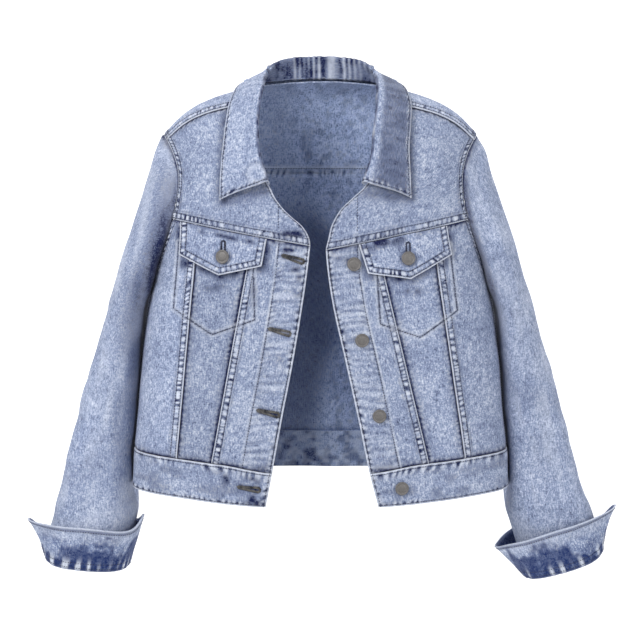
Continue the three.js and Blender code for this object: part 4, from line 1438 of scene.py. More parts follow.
def wash_blotches(x: Array, z: Array) -> Array:
    """Indigo left by the wash: ragged bells, each pushed in and out by noise."""
    ragged = 1 + 0.9 * value_noise(x, z, 7, 15)
    ink = np.zeros_like(x)
    for bx, bz, reach_x, reach_z, strength in BLOTCHES.rows:
        ink = np.maximum(ink, strength * bell(x - bx, reach_x) * bell(z - bz, reach_z))
    return ink * np.clip(ragged, 0.15, 1.4)


def buttonhole_shade(x: Array, z: Array) -> Array:
    """Painted shade round each buttonhole's slit: a bell across it, held level along it."""
    ink = np.zeros_like(x)
    for bx, bz, turn in BUTTONHOLES:
        c, d = math.cos(math.radians(turn)), math.sin(math.radians(turn))
        along, across = c * (x + bx) + d * (z - bz), c * (z - bz) - d * (x + bx)
        ink = np.maximum(ink, 0.95 * bell(across, 4.2) * smooth((16 - np.abs(along)) / 4))
    return ink


# The fronts

@dataclass
class Front:
    """One front: yoke, three panels, facing, pocket bag, flap and their stitching."""

    side: Side
    shop: Workshop
    placket: float = FACING_WIDTH

    def pocket_outline(self) -> list[tuple[float, float]]:
        """The corners of the bag's stitch line, from under the flap round its point."""
        top, foot = POCKETS[self.side]
        s, high = self.side.value, POCKET_TOP_Z[self.side]
        return [(s * top[0], high), *[(s * x, z) for x, z in foot], (s * top[2], high)]

    def flap_outline(self) -> list[tuple[float, float]]:
        """The flap's corners, from its inner upper one round its point to its outer upper one."""
        top, foot = FLAPS[self.side]
        s = self.side.value
        first, last = ((s * x, yoke_seam_z(self.side, x)) for x in (top[0], top[2]))
        return [first, *[(s * x, z) for x, z in foot], last]

    def panel_top_z(self, x: Array, _behind: Array) -> Array:
        """Height of the upper line of the panels."""
        return yoke_seam_z(self.side, x) - HALF_SEAM

    def make(
        self, name: str, cloth: float, patches: list[Patch], tone: float, seed: int,
        group: str = "front", **how: object,
    ) -> None:
        """Makes one piece of this side.

        Args:
            name: the piece's name without the side.
            cloth: thickness of its wall.
            patches: its gridded parts.
            tone: how much lighter it is.
            seed: number of its noises.
            group: which stitches it joins.
            how: what else the shop takes, such as the slot.
        """
        word = self.side.word
        piece = ClothMesh(f"{word}_{name}", cloth, patches, tone, seed)
        self.shop.make(piece, f"{word}_{group}_stitches", **how)

    def panel_marks(self, points: Array) -> Marks:
        """Marks that cross panels.

        They are the bag's stitch line, the placket's ridge and ripples, the wash blotches, and painted
        shade round the flap, round the right front's buttonholes, under the yoke and over the waistband.

        Args:
            points: the panel's face.

        Returns:
            The marks of each vertex.
        """
        x, z = points[..., 0], points[..., 2]
        gap, along = outline_distance(x, z, self.pocket_outline())
        wave = puckers(along, gap, 7.5, 61)
        rise = -0.35 * bell(gap, 1.0) + 0.28 * wave * bell(gap, 5) + 0.35 * bell(gap - 3.0, 1.6)
        ink = 0.85 * bell(gap, 1.1) + 0.3 * np.maximum(-wave, 0) * bell(gap, 4)
        fade = 0.4 * bell(gap - 2.6, 1.4) + 0.22 * np.maximum(wave, 0) * bell(gap, 5)
        edge = front_edge[self.side](z)
        inward = np.abs(x) - edge - self.placket
        on_placket = smooth((-150 - z) / 20)
        line = puckers(z, inward, 7.0, 83)
        rise = rise + (0.5 * bell(inward, 1.0) + 0.3 * line * bell(inward - 3, 4)) * on_placket
        ripple = puckers(z, inward * 0.35, 9.5, 85 + self.side.value)
        within = 0.75 * smooth(-inward / 5) * smooth((inward + self.placket) / 8)
        rise = rise + 0.25 * ripple * within * on_placket
        pale = 0.6 * bell(inward, 0.9) + 0.5 * np.maximum(line, 0) * bell(inward + 5, 5)
        pale = pale + 0.5 * np.maximum(ripple, 0) * within
        dark = 0.5 * bell(inward + 2.0, 0.8) + 0.45 * np.maximum(-line, 0) * bell(inward + 4, 5)
        fade = np.maximum(fade, pale * on_placket)
        ink = np.maximum(ink, (dark + 0.4 * np.maximum(-ripple, 0) * within) * on_placket)
        # Painted shadow round the flap.
        flap_gap, _ = outline_distance(x, z, self.flap_outline())
        ink = np.maximum(ink, bell(flap_gap, 7.5) * (0.7 + 0.35 * value_noise(x, z, 8, 12)))
        ink = np.maximum(ink, wash_blotches(x, z))
        # Painted shade round the buttonholes.
        if self.side is Side.RIGHT:
            ink = np.maximum(ink, buttonhole_shade(x, z))
        # Painted shade under the yoke seam.
        below = yoke_seam_z(self.side, x) - z
        patchy = smooth(0.3 + value_noise(x, z, 13, 44 + self.side.value) * 1.3)
        ink = np.maximum(ink, 0.75 * bell(np.maximum(below, 0), 9) * patchy * (below > 0))
        # Painted shade over the waistband.
        over = z - panel_foot_z(x, np.full(np.shape(x), False))
        ragged = smooth(0.45 + 1.4 * value_noise(x, z, 12, 46 + self.side.value))
        reach = mix(3, 9, smooth((130 - np.abs(x)) / 60))
        ink = np.maximum(ink, bell(over, reach) * (0.35 + 0.6 * ragged))
        return Marks(rise, fade, ink)

    def upright_panel(
        self, name: str, surface: Surface, sewn: tuple[Sewing, Sewing], size: tuple[float, float],
        tone: float, seed: int,
    ) -> None:
        """Builds one panel between the yoke and the waistband.

        Args:
            name: the piece's name without the side.
            surface: its face.
            sewn: finishes of its inner and its outer border.
            size: its width and height, for the steps.
            tone: how much lighter it is.
            seed: number of its noises.
        """
        start, end = sewn[::self.side.value]
        borders = {Border.START: start, Border.END: end, Border.TOP: TUCKED, Border.FOOT: TUCKED_SHORT}
        self.make(name, CLOTH, [Patch(surface, borders, size, extra=self.panel_marks)], tone, seed)

    def inner_panels(self) -> None:
        """Builds the centre panel and the middle panel."""
        side = self.side
        seams = [
            front_edge[side], upright_seam(side, "inner", -HALF_SEAM),
            upright_seam(side, "inner", HALF_SEAM), upright_seam(side, "outer", -HALF_SEAM),
        ]
        middle_tone = 0.0 if side is Side.LEFT else -0.11
        for name, lines, sewn, width, tone in (
            ("centre_front", seams[:2], (EDGE_SINGLE, FELLED), 80, -0.03),
            ("middle_front", seams[2:], (TUCKED, TUCKED), 60, middle_tone),
        ):
            surface = front_piece(side, *lines, panel_foot_z, self.panel_top_z)
            self.upright_panel(name, surface, sewn, (width, 290), tone, 11 + len(name) + side.value)

    def side_panel(self) -> None:
        """Builds the side panel, whose outer border follows the side seam and the armhole."""
        inner = upright_seam(self.side, "outer", HALF_SEAM)
        outer = side_or_armhole(armhole_front)
        s = self.side.value
        lines = [
            lambda z: s * front_angle(inner(z), z),
            lambda z: s * (front_angle(outer(z), z) - side_gap(z)),
        ]
        surface = body_piece(*lines[::s], panel_foot_z, self.panel_top_z)
        sewn = (FELLED, FELLED_NARROW)
        # Painted light in the tone: the wearer's right side panel, which faces the key light, is lighter, and
        # the left one darker.
        self.upright_panel("side_front", surface, sewn, (100, 300), 0.02 - 0.05 * s, 17 + s)

    def yoke_marks(self, points: Array) -> Marks:
        """Marks on the yoke: wash blotches, and the collar's painted shadow beside its free edge."""
        x, z = points[..., 0], points[..., 2]
        line = COLLAR_LINES.column("edgeX")[4:], COLLAR_LINES.column("edgeRoot")[4:]
        places = shoulder_at(self.side.value * line[0] + COLLAR_FRONT_SHIFT, line[1])
        end = (self.side.value * 57 + COLLAR_FRONT_SHIFT, NECK_CORNER_Z - 4)
        gap, _ = outline_distance(x, z, [*[(p[0], p[2]) for p in places], end])
        # Painted shadow of the collar on the yoke.
        shade = 0.7 * bell(gap, 6.5) * (0.75 + 0.25 * value_noise(x, z, 9, 14))
        zero = np.zeros_like(x)
        return Marks(zero, zero, np.maximum(shade, wash_blotches(x, z)))

    def yoke(self) -> None:
        """Builds the front yoke, from the shoulder seam to the slanted chest seam."""
        surface = front_piece(
            self.side, front_edge[self.side], armhole_front,
            lambda x, _: yoke_seam_z(self.side, x) + HALF_SEAM,
            lambda x, _: ridge_z(x) - shoulder_seam_drop(x) - HALF_SEAM,
        )
        start, end = (Sewing(Finish.FOLDED, 7.0, (2.6,), 0.3), FELLED_NARROW)[::self.side.value]
        borders = {Border.START: start, Border.END: end, Border.FOOT: FELLED, Border.TOP: TUCKED}
        patch = Patch(surface, borders, (165, 165), extra=self.yoke_marks)
        self.make("front_yoke", CLOTH, [patch], -0.05, 23 + self.side.value)

    def facing(self) -> None:
        """Builds the second layer behind the front edge."""
        edge = front_edge[self.side]
        bend_x = float(edge(np.array(FACING_BEND_Z))) + self.placket
        end_x = float(edge(np.array(FACING_TOP_Z))) + 3

        def inner(z: Array) -> Array:
            """The inner line: a placket's width from the edge, and slanting above the bend."""
            slant = mix(bend_x, end_x, (z - FACING_BEND_Z) / (FACING_TOP_Z - FACING_BEND_Z))
            return np.where(z < FACING_BEND_Z, edge(z) + self.placket, slant)

        surface = front_piece(self.side, lambda z: edge(z) + 0.6, inner, panel_foot_z, same(FACING_TOP_Z))
        fold = Sewing(Finish.FOLDED, 6.0, (), 0.2)
        borders = {Border.START: fold, Border.END: fold}
        patch = Patch(surface, borders, (40, 380), outset=same(INNER_LAYER), fine=3.0, coarse=6.0)
        self.make(
            "front_facing", FACING - 0.3, [patch], -0.05, 29 + self.side.value, slot="denim_inside",
            held="folded", materials=[self.shop.finishes.inside, self.shop.finishes.outside],
        )

    def patch_halves(self, corners: tuple, top: Curve) -> list[Surface]:
        """The two four-cornered halves of a five-cornered patch, each a blend of its corners.

        Args:
            corners: three upper distances and three lower corners.
            top: height of the upper line by distance.

        Returns:
            Their surfaces, the inner one first.
        """
        (upper, foot), s = corners, self.side.value

        def half(k: int, u: Array, v: Array) -> Array:
            """The half between its lower and its upper line, at u and v."""
            u = u if s > 0 else 1 - u
            x = s * mix(mix(foot[k][0], foot[k + 1][0], u), mix(upper[k], upper[k + 1], u), v)
            return front_surface(x, mix(mix(foot[k][1], foot[k + 1][1], u), top(x), v))

        return [lambda u, v, k=k: half(k, u, v) for k in (0, 1)]

    def bag(self) -> None:
        """Builds the pocket bag inside the panels."""
        high = POCKET_TOP_Z[self.side]
        halves = self.patch_halves(POCKETS[self.side], lambda x: np.full(np.shape(x), high))
        steps = (np.linspace(0, 1, 10), np.linspace(0, 1, 20))
        patches = [Patch(half, {}, (48, 100), outset=same(INNER_LAYER), steps=steps) for half in halves]
        inside = self.shop.finishes.inside
        self.make("pocket_bag", CLOTH - 0.5, patches, -0.05, 31, slot="denim_inside", materials=[inside] * 2)

    def flap_lift(self, u: Array, v: Array) -> Array:
        """Height of the flap's face over the front: it stands out more towards its free edge."""
        return FLAP_GAP + FLAP + FLAP_LIFT * np.clip(1 - v, 0, 1) ** 1.5 - 0.3

    def flap(self) -> None:
        """Builds the flap with its double stitch rows along the free edge."""
        halves = self.patch_halves(FLAPS[self.side], lambda x: yoke_seam_z(self.side, x) - 0.6)
        outline = self.flap_outline()
        s = self.side.value

        def marks(points: Array) -> Marks:
            """Edge wear, stitch grooves and puckers by distance from the free outline, painted shadow under
            the yoke seam, and a darker ring round the button.
            """
            x, z = points[..., 0], points[..., 2]
            gap, along = outline_distance(x, z, outline)
            made = sewn_marks(EDGE_DOUBLE, gap, along, 71 + s)
            # Painted shadow under the yoke seam across the flap's top.
            below = yoke_seam_z(self.side, x) - z
            patchy = smooth(0.55 + value_noise(x, z, 12, 52 + s) * 1.2)
            lean = smooth((150 - np.abs(x)) / 70)
            if self.side is Side.LEFT:
                shade = bell(below, mix(4, 12, lean)) * patchy
            else:
                shade = np.maximum(0.85 * bell(below - 7.5, 3.2) * patchy, 0.5 * bell(below, 3))
            bx, bz = FLAP_BUTTONS[self.side]
            ring = 0.4 * bell(np.hypot(x - s * bx, z - bz) - 9.5, 1.8)
            made.ink = np.maximum(np.maximum(made.ink, shade), ring)
            return made

        steps = (np.linspace(0, 1, 42), np.linspace(0, 1, 42))
        patches = [
            Patch(half, {}, (56, 52), outset=self.flap_lift, extra=marks, steps=steps) for half in halves
        ]
        looks = [self.shop.finishes.flap, self.shop.finishes.inside]
        self.make("pocket_flap", FLAP - 0.6, patches, 0.0, 37 + s, "flap", materials=looks)
        for row in EDGE_DOUBLE.rows:
            x, z = self.inset_outline(outline, row)
            share = self.flap_height_share(x, z)
            points, normals = front_frame(x, z)
            raised = points + normals * (self.flap_lift(share, share) + 0.05)[:, None]
            self.shop.stitches.sew(f"{self.side.word}_flap_stitches", raised, normals)

    def flap_height_share(self, x: Array, z: Array) -> Array:
        """How far up the flap a place lies, from 0 at its free edge to 1 at its seam."""
        _, foot = FLAPS[self.side]
        low = np.interp(np.abs(x), [p[0] for p in foot], [p[1] for p in foot])
        return np.clip((z - low) / (yoke_seam_z(self.side, x) - low), 0, 1)

    @staticmethod
    def inset_outline(corners: Sequence[tuple[float, float]], inset: float) -> tuple[Array, Array]:
        """An open outline moved inwards: each corner goes to where its two moved sides meet.

        Args:
            corners: the outline.
            inset: how far it moves, in millimetres.

        Returns:
            Even places along the moved outline: distances from the middle, and heights.
        """
        p = np.array(corners, float)
        d = np.diff(p, axis=0)
        d = d / np.linalg.norm(d, axis=1, keepdims=True)
        n = np.stack([-d[:, 1], d[:, 0]], -1)
        middle = p.mean(axis=0)
        if ((middle - p[0]) * n[0]).sum() < 0:
            n = -n
        moved = [p[0] + n[0] * inset]
        for k in range(1, len(p) - 1):
            bisector = n[k - 1] + n[k]
            moved.append(p[k] + bisector * inset / max(0.3, float(bisector @ n[k])))
        moved.append(p[-1] + n[-1] * inset)
        q = np.array(moved)
        run = running_length(q)
        at = np.linspace(0, run[-1], int(run[-1] / 1.5))
        return np.interp(at, run, q[:, 0]), np.interp(at, run, q[:, 1])

    def surface_rows(self) -> None:
        """Stitches that cross panels: the bag's outline and the placket."""
        group = f"{self.side.word}_front_stitches"
        chest_z = float(yoke_seam_z(self.side, np.array(50.0)))
        z = np.linspace(BAND_TOP_Z + 4, chest_z - 3, 160)
        edge, s = front_edge[self.side], self.side.value
        lines = [self.inset_outline(self.pocket_outline(), 0.0)]
        lines += [(s * (edge(z) + inset), z) for inset in (2.6, self.placket - 2.0)]
        inward = float(edge(np.array(FACING_BEND_Z))) + self.placket - 2
        z_up = np.linspace(chest_z + 14, -122, 40)
        lines.append((np.full(len(z_up), s * inward), z_up))
        for x, z in lines:
            points, normals = front_frame(x, z)
            self.shop.stitches.sew(group, points + normals * 0.15, normals, 0.1)

    def build(self) -> None:
        """Builds every piece of the front."""
        self.yoke()
        self.inner_panels()
        self.side_panel()
        self.facing()
        self.bag()
        self.flap()
        self.surface_rows()


# Where the painted shadow inside the back ends, by height
SHADE_LINE = Table("z x", (
    (-460, -10), (-380, 5), (-320, 25), (-200, 25), (-150, -5), (-110, -25), (-60, -40),
))


def back_lining(points: Array) -> tuple[Array, Array, Array]:
    """Wear, dye and tone of the back's inside, with the right front's painted shadow on the wearer's
    right of the shade line.

    The seam strip under the yoke is worn pale with dark gaps, and broad noise mottles the rest.

    Args:
        points: the inner points, in millimetres.

    Returns:
        The three values of each point.
    """
    x, z = points[:, 0], points[:, 2]
    line = np.interp(z, SHADE_LINE.column("z"), SHADE_LINE.column("x"))
    # Painted shadow of the right front, stronger lower down.
    low = smooth((-130 - z) / 60)
    dark = smooth((line - x) / 45 + 0.5) * mix(0.35, 1.0, low)
    wave = puckers(x, z, 8.0, 19)
    strip = bell(z - BACK_YOKE_Z - 5, 4.5)
    worn = 0.9 * smooth((wave + 0.1) / 0.6) * strip + 0.8 * bell(z - BACK_YOKE_Z - 12.5, 1.4)
    patches = 0.22 * smooth(1.2 * value_noise(x, z, 19, 21))
    patches = patches + 0.3 * smooth(1.4 * value_noise(x, z, 4.5, 22))
    ink = np.maximum(patches * (1 - 0.4 * dark), 0.8 * smooth((-wave - 0.05) / 0.5) * strip)
    # The painted shadow goes into both the dye and the tone.
    return worn, np.maximum(ink, 0.5 * dark), -0.36 * dark + 0.06


def hem_lining(points: Array) -> tuple[Array, Array, Array]:
    """Wear, dye and tone inside the waistband: strong pale and dark patches along it, and painted shadow
    towards the wearer's right.
    """
    x, z = points[:, 0], points[:, 2]
    dark = smooth(0.4 + 1.5 * value_noise(x, z, 9, 23))
    pale = smooth(0.2 + 1.6 * value_noise(x, z * 1.5, 7, 24))
    # Painted shadow towards the wearer's right, under the right front.
    shaded = smooth((30 - x) / 60)
    return 0.5 * pale * (1 - 0.5 * shaded), np.clip(0.5 * dark + 0.35 * shaded, 0, 1), -0.3 * shaded


@dataclass
class Back:
    """The back yoke with its shoulder wraps, and the back panel."""

    shop: Workshop

    @staticmethod
    def seam_root(x: Array) -> Array:
        """Root of the yoke seam's drop behind the ridge."""
        return -np.sqrt(ridge_z(x) - BACK_YOKE_Z - HALF_SEAM)

    @staticmethod
    def neck_root(x: Array) -> Array:
        """Root of the neckline's drop behind the ridge."""
        return -np.sqrt(NECK_DIP * np.maximum(0, 1 - (x / NECK_HALF) ** 2))

    @staticmethod
    def front_root(x: Array) -> Array:
        """Root of the shoulder seam's drop before the ridge."""
        return np.sqrt(shoulder_seam_drop(x) - HALF_SEAM)

    def yoke(self) -> None:
        """Builds the yoke from five patches that share their borders, as the solid does."""

        def middle(u: Array, v: Array) -> Array:
            """Between the neck ends, from the seam up to the neckline."""
            x = mix(NECK_HALF, -NECK_HALF, u)
            return shoulder_at(x, mix(self.seam_root(x), self.neck_root(x), v))

        def wing(side: Side, low: Curve, high: Curve) -> Surface:
            """From a neck end out to the armhole, between two roots.

            Args:
                side: the wearer's side.
                low: lower root by distance.
                high: upper root.

            Returns:
                The wing's surface.
            """

            def surface(u: Array, v: Array) -> Array:
                """The wing at u and v, its distance found by repeated damped substitution."""
                if side is Side.LEFT:
                    u = 1 - u
                x = np.full(np.shape(u), NECK_HALF)
                for _ in range(12):
                    root = mix(low(x), high(x), v)
                    z = ridge_z(x) - root * root
                    reach = np.where(root < 0, armhole_back(z), armhole_front(z))
                    x = mix(x, mix(NECK_HALF, reach, u), 0.7)
                return shoulder_at(side.value * x, mix(low(x), high(x), v))

            return surface

        roots = stretches((0, 0.16, 1), (15, 36))
        across, out, fore = (np.linspace(0, 1, count) for count in (80, 54, 26))
        below = Sewing(Finish.FELLED, 12.5, (2.3, 10.2), both_faces=True)
        patches = [Patch(middle, {Border.FOOT: below}, (174, 110), steps=(across, roots))]
        for side in Side:
            arm = Border.END if side is Side.RIGHT else Border.START
            behind = wing(side, self.seam_root, np.zeros_like)
            before = wing(side, np.zeros_like, self.front_root)
            sewn = {arm: FELLED_NARROW}
            patches.append(Patch(behind, {Border.FOOT: below, **sewn}, (115, 110), steps=(out, roots)))
            patches.append(Patch(before, {Border.TOP: FELLED, **sewn}, (115, 40), steps=(out, fore)))
        self.shop.make(ClothMesh("back_yoke", CLOTH, patches, 0.03, 41, back_lining), "back_stitches")

    def panel(self) -> None:
        """Builds the one-piece back panel."""
        outer = side_or_armhole(armhole_back)

        def edge(z: Array) -> Array:
            """Angle of the outer border, as in front."""
            return front_angle(outer(z), z) - side_gap(z)

        surface = body_piece(
            lambda z: PI - edge(z), lambda z: PI + edge(z),
            lambda x, _: panel_foot_z(x, np.full(np.shape(x), True)), same(BACK_YOKE_Z - HALF_SEAM),
        )
        borders = {Border.TOP: TUCKED, Border.FOOT: TUCKED_SHORT, Border.START: PLAIN, Border.END: PLAIN}
        patch = Patch(surface, borders, (560, 368), coarse=3.4)
        self.shop.make(ClothMesh("back_panel", CLOTH, [patch], 0.0, 43, back_lining), "back_stitches")

    def build(self) -> None:
        """Builds both pieces."""
        self.yoke()
        self.panel()


@dataclass
class Waistband:
    """The double band round the hem."""

    shop: Workshop

    def build(self) -> None:
        """Builds the band with stitch rows along all four edges."""
        surface = body_piece(
            lambda z: front_angle(front_edge[Side.LEFT](z), z),
            lambda z: 2 * PI - front_angle(front_edge[Side.RIGHT](z), z),
            lambda x, behind: HEM_Z + hem_rise(x, behind),
            lambda x, behind: panel_foot_z(x, behind) - SEAM,
        )
        level = Sewing(Finish.FOLDED, 8.0, (2.6,), 0.45, 7.2)
        upper = Sewing(Finish.FOLDED, 17.0, (2.4,), 0.55, 10.5)
        steps = (np.linspace(0, 1, 620), stretches((0, 0.26, 0.62, 1), (11, 6, 14)))
        borders = {
            Border.FOOT: level, Border.TOP: upper, Border.START: EDGE_SINGLE, Border.END: EDGE_SINGLE,
        }
        patch = Patch(surface, borders, (1210, 42), steps=steps, outset=same(BAND_PROUD), extra=self.marks)
        self.shop.make(ClothMesh("waistband", BAND, [patch], -0.03, 47, hem_lining), "waistband_stitches")

    @staticmethod
    def marks(points: Array) -> Marks:
        """Broad uneven dark patches along the band, wash blotches in front, and painted shade round the
        band's buttonhole.
        """
        x, y, z = points[..., 0], points[..., 1], points[..., 2]
        patch = smooth(0.15 + value_noise(x, z * 2, 16, 33) * 1.2)
        zero = np.zeros_like(x)
        # Painted shade round the band's buttonhole, with the blotches, on the front only.
        near = np.maximum(wash_blotches(x, z), buttonhole_shade(x, z)) * (y < 0)
        return Marks(zero, zero, np.maximum(0.3 * patch, near))


@dataclass
class Collar:
    """The stand and fall in one folded double piece."""

    shop: Workshop

    def station(self, side: int, at: Array) -> Array:
        """Nine control points of the collar's section at each station.

        They run from the neckline up the stand, round the fold and down the fall to the free edge.

        Args:
            side: -1 for the wearer's right and 1 for the left.
            at: 0 at the middle of the back to 1 at the front end.

        Returns:
            An array with nine points for each station.
        """
        line = COLLAR_LINES.read(at)
        shift = COLLAR_FRONT_SHIFT * smooth((at - 0.55) / 0.3)
        back = NECK_HALF * np.sin(PI * np.minimum(at, 0.5))
        dip = NECK_DIP * np.maximum(0, 1 - (back / NECK_HALF) ** 2)
        z = mix(NECK_RIDGE_Z, NECK_CORNER_Z, np.maximum(2 * at - 1, 0) ** 1.2)
        edge_line = front_edge[Side.LEFT if side > 0 else Side.RIGHT](z)
        x = side * np.where(at < 0.5, back, edge_line)
        drop = np.where(at < 0.5, dip, np.maximum(0, ridge_z(x) - z))
        seam = body_at(x, drop, at < 0.5)
        root = np.sqrt(np.maximum(0.02, ridge_z(x) - seam[..., 2]))
        root = root * np.where(seam[..., 1] > RIDGE_Y - 2, -1, 1)
        seam = seam + body_outward(x, root) * COLLAR_SEAT
        fold = stack(side * line["foldX"] + shift, line["foldY"], line["foldZ"])
        edge_x, edge_root = side * line["edgeX"] + shift, line["edgeRoot"]
        edge = shoulder_at(edge_x, edge_root) + body_outward(edge_x, edge_root) * COLLAR_REST
        out, up = unit(edge - fold), unit(fold - seam)
        turn = unit(up - out * (up * out).sum(-1, keepdims=True))
        r = COLLAR_FOLD_RADIUS
        bend = ((-1, -1), (-0.7, -0.3), (0, 0), (1.1, -0.1))
        return np.stack([
            seam, mix(seam, fold, 0.45) - out * 0.8,
            *(fold + out * (along * r) + turn * (high * r) for along, high in bend),
            *(mix(fold, edge, share) + turn * high for share, high in ((0.3, 0.6), (0.65, 1.6))), edge,
        ], axis=-2)

    @staticmethod
    def through(points: Array, u: Array) -> Array:
        """A centripetal Catmull-Rom curve through each station's points, at u from 0 to 1.

        Neighbour gaps are the square roots of their distances, and each stretch is the cubic with
        the end slopes that those gaps give.

        Args:
            points: control points, station by station.
            u: share of the way through them.

        Returns:
            The points of the curve.
        """
        count = points.shape[-2]
        first = 2 * points[..., :1, :] - points[..., 1:2, :]
        last = 2 * points[..., -1:, :] - points[..., -2:-1, :]
        p = np.concatenate([first, points, last], axis=-2)
        k = np.clip((u * (count - 1)).astype(int), 0, count - 2)
        w = (u * (count - 1) - k)[..., None]
        p0, p1, p2, p3 = (
            np.take_along_axis(p, (k + j)[..., None, None], axis=-2)[..., 0, :] for j in range(4)
        )
        d0, d1, d2 = (
            np.maximum(np.linalg.norm(a - b, axis=-1, keepdims=True), 1e-4) ** 0.5
            for a, b in ((p0, p1), (p1, p2), (p2, p3))
        )
        t1 = ((p1 - p0) / d0 - (p2 - p0) / (d0 + d1) + (p2 - p1) / d1) * d1
        t2 = ((p2 - p1) / d1 - (p3 - p1) / (d1 + d2) + (p3 - p2) / d2) * d1
        c2, c3 = -3 * p1 + 3 * p2 - 2 * t1 - t2, 2 * p1 - 2 * p2 + t1 + t2
        return p1 + t1 * w + c2 * w**2 + c3 * w**3

    def surface(self, u: Array, v: Array) -> Array:
        """The underside of the collar: u across the section, v from the right end to the left."""
        v = np.clip(v, 0, 1)
        at = np.abs(2 * v - 1)
        side = np.where(v < 0.5, -1, 1)
        right, left = self.station(-1, at), self.station(1, at)
        points = np.where((side < 0)[..., None, None], right, left)
        return self.through(points, np.clip(u, 0, 1))

    def shown(self, u: Array, v: Array) -> Array:
        """The shown face: the underside moved by the collar's thickness."""
        return self.surface(u, v) - surface_normal(self.surface, u, v) * COLLAR

    def build(self) -> None:
        """Builds the collar with a stitch row inside its free edges."""
        steps = (stretches((0, 0.2, 0.62, 1), (8, 24, 34)), stretches((0, 0.04, 0.96, 1), (16, 330, 16)))
        row = Sewing(Finish.FOLDED, 7.5, (4.0,), 0.55, 7.0)
        patch = Patch(
            self.shown, {Border.END: row, Border.FOOT: row, Border.TOP: row}, (100, 560), flip=True,
            steps=steps, extra=lambda points: self.marks(points, steps[0]),
        )
        self.shop.make(ClothMesh("collar", COLLAR - 0.3, [patch], 0.0, 53), "collar_stitches")

    @staticmethod
    def marks(points: Array, us: Array) -> Marks:
        """A worn ring on the right fall over the hidden button, the dark puckered stand, and painted
        shade on the left fall, which faces away from the key light.

        Args:
            points: the collar's face.
            us: place of each column across the section, with the fold at a half.

        Returns:
            The marks of each vertex.
        """
        x, y, z = points[..., 0], points[..., 1], points[..., 2]
        ring = np.hypot(x + 77, z + 97) - 11.5
        near = (y < -60) & (x < 0)
        stand = smooth((0.4 - us) / 0.1) * np.ones_like(x)
        wave = puckers(x, y, 8.0, 57)
        patchy = smooth(0.5 + value_noise(x, y + 2 * z, 14, 58))
        # Painted shade on the left fall, which faces away from the key light.
        shaded = 0.52 * smooth((us - 0.55) / 0.15) * smooth((x - 40) / 40)
        stand_ink = stand * (0.42 + 0.35 * patchy + 0.5 * np.maximum(-wave, 0))
        ink = np.maximum(0.28 * bell(ring - 2.2, 1.6) * near, stand_ink)
        return Marks(
            0.35 * bell(ring, 2.0) * near + 0.7 * wave * stand,
            np.maximum(0.3 * bell(ring + 2, 3.0) * near, 0.75 * np.maximum(wave - 0.2, 0) * stand),
            np.maximum(ink, shaded * (0.8 + 0.4 * patchy)),
        )


# Sleeves

def clear_of_body(points: Array) -> Array:
    """Moves points that lie in or near the body out to just clear of its side.

    A point's share of the body's rounded oblong is taken, and its plan place grows softly until
    that share is one.

    Args:
        points: points of a sleeve.

    Returns:
        The points moved.
    """
    x, y, z = points[..., 0], points[..., 1], points[..., 2]
    reach = smooth((ARMPIT_Z + 2 - z) / 16)
    drop = ridge_z(x) - z
    full = np.abs(np.where(y < SIDE_Y, front_y(drop), back_y(drop)) - SIDE_Y)
    wide = half_width(np.maximum(z, HEM_Z)) + SLEEVE_CLEAR
    share = (np.abs(x) / wide) ** SECTION_POWER
    share = share + (np.abs(y - SIDE_Y) / (full + SLEEVE_CLEAR)) ** SECTION_POWER
    push = share ** (-1 / SECTION_POWER) - 1
    soft = (push + np.hypot(push, SLEEVE_TOUCH)) / 2
    grow = 1 + soft * reach * smooth((z - HEM_Z + 30) / 30) * (z >= HEM_Z - 30)
    return stack(x * grow, SIDE_Y + (y - SIDE_Y) * grow, z)


def armhole_at(turn: Array) -> Array:
    """The armhole edge: 0 at the shoulder, a quarter turn at the front, a half at the armpit."""
    z = mix(ARMPIT_Z, ARMHOLE.rows[-1][0], (1 + np.cos(turn)) / 2)
    is_back = np.sin(turn) < 0
    x = np.where(is_back, armhole_back(z), armhole_front(z))
    return body_at(x, np.maximum(0, ridge_z(x) - z), is_back) + (SLEEVE_START, 0, 0)


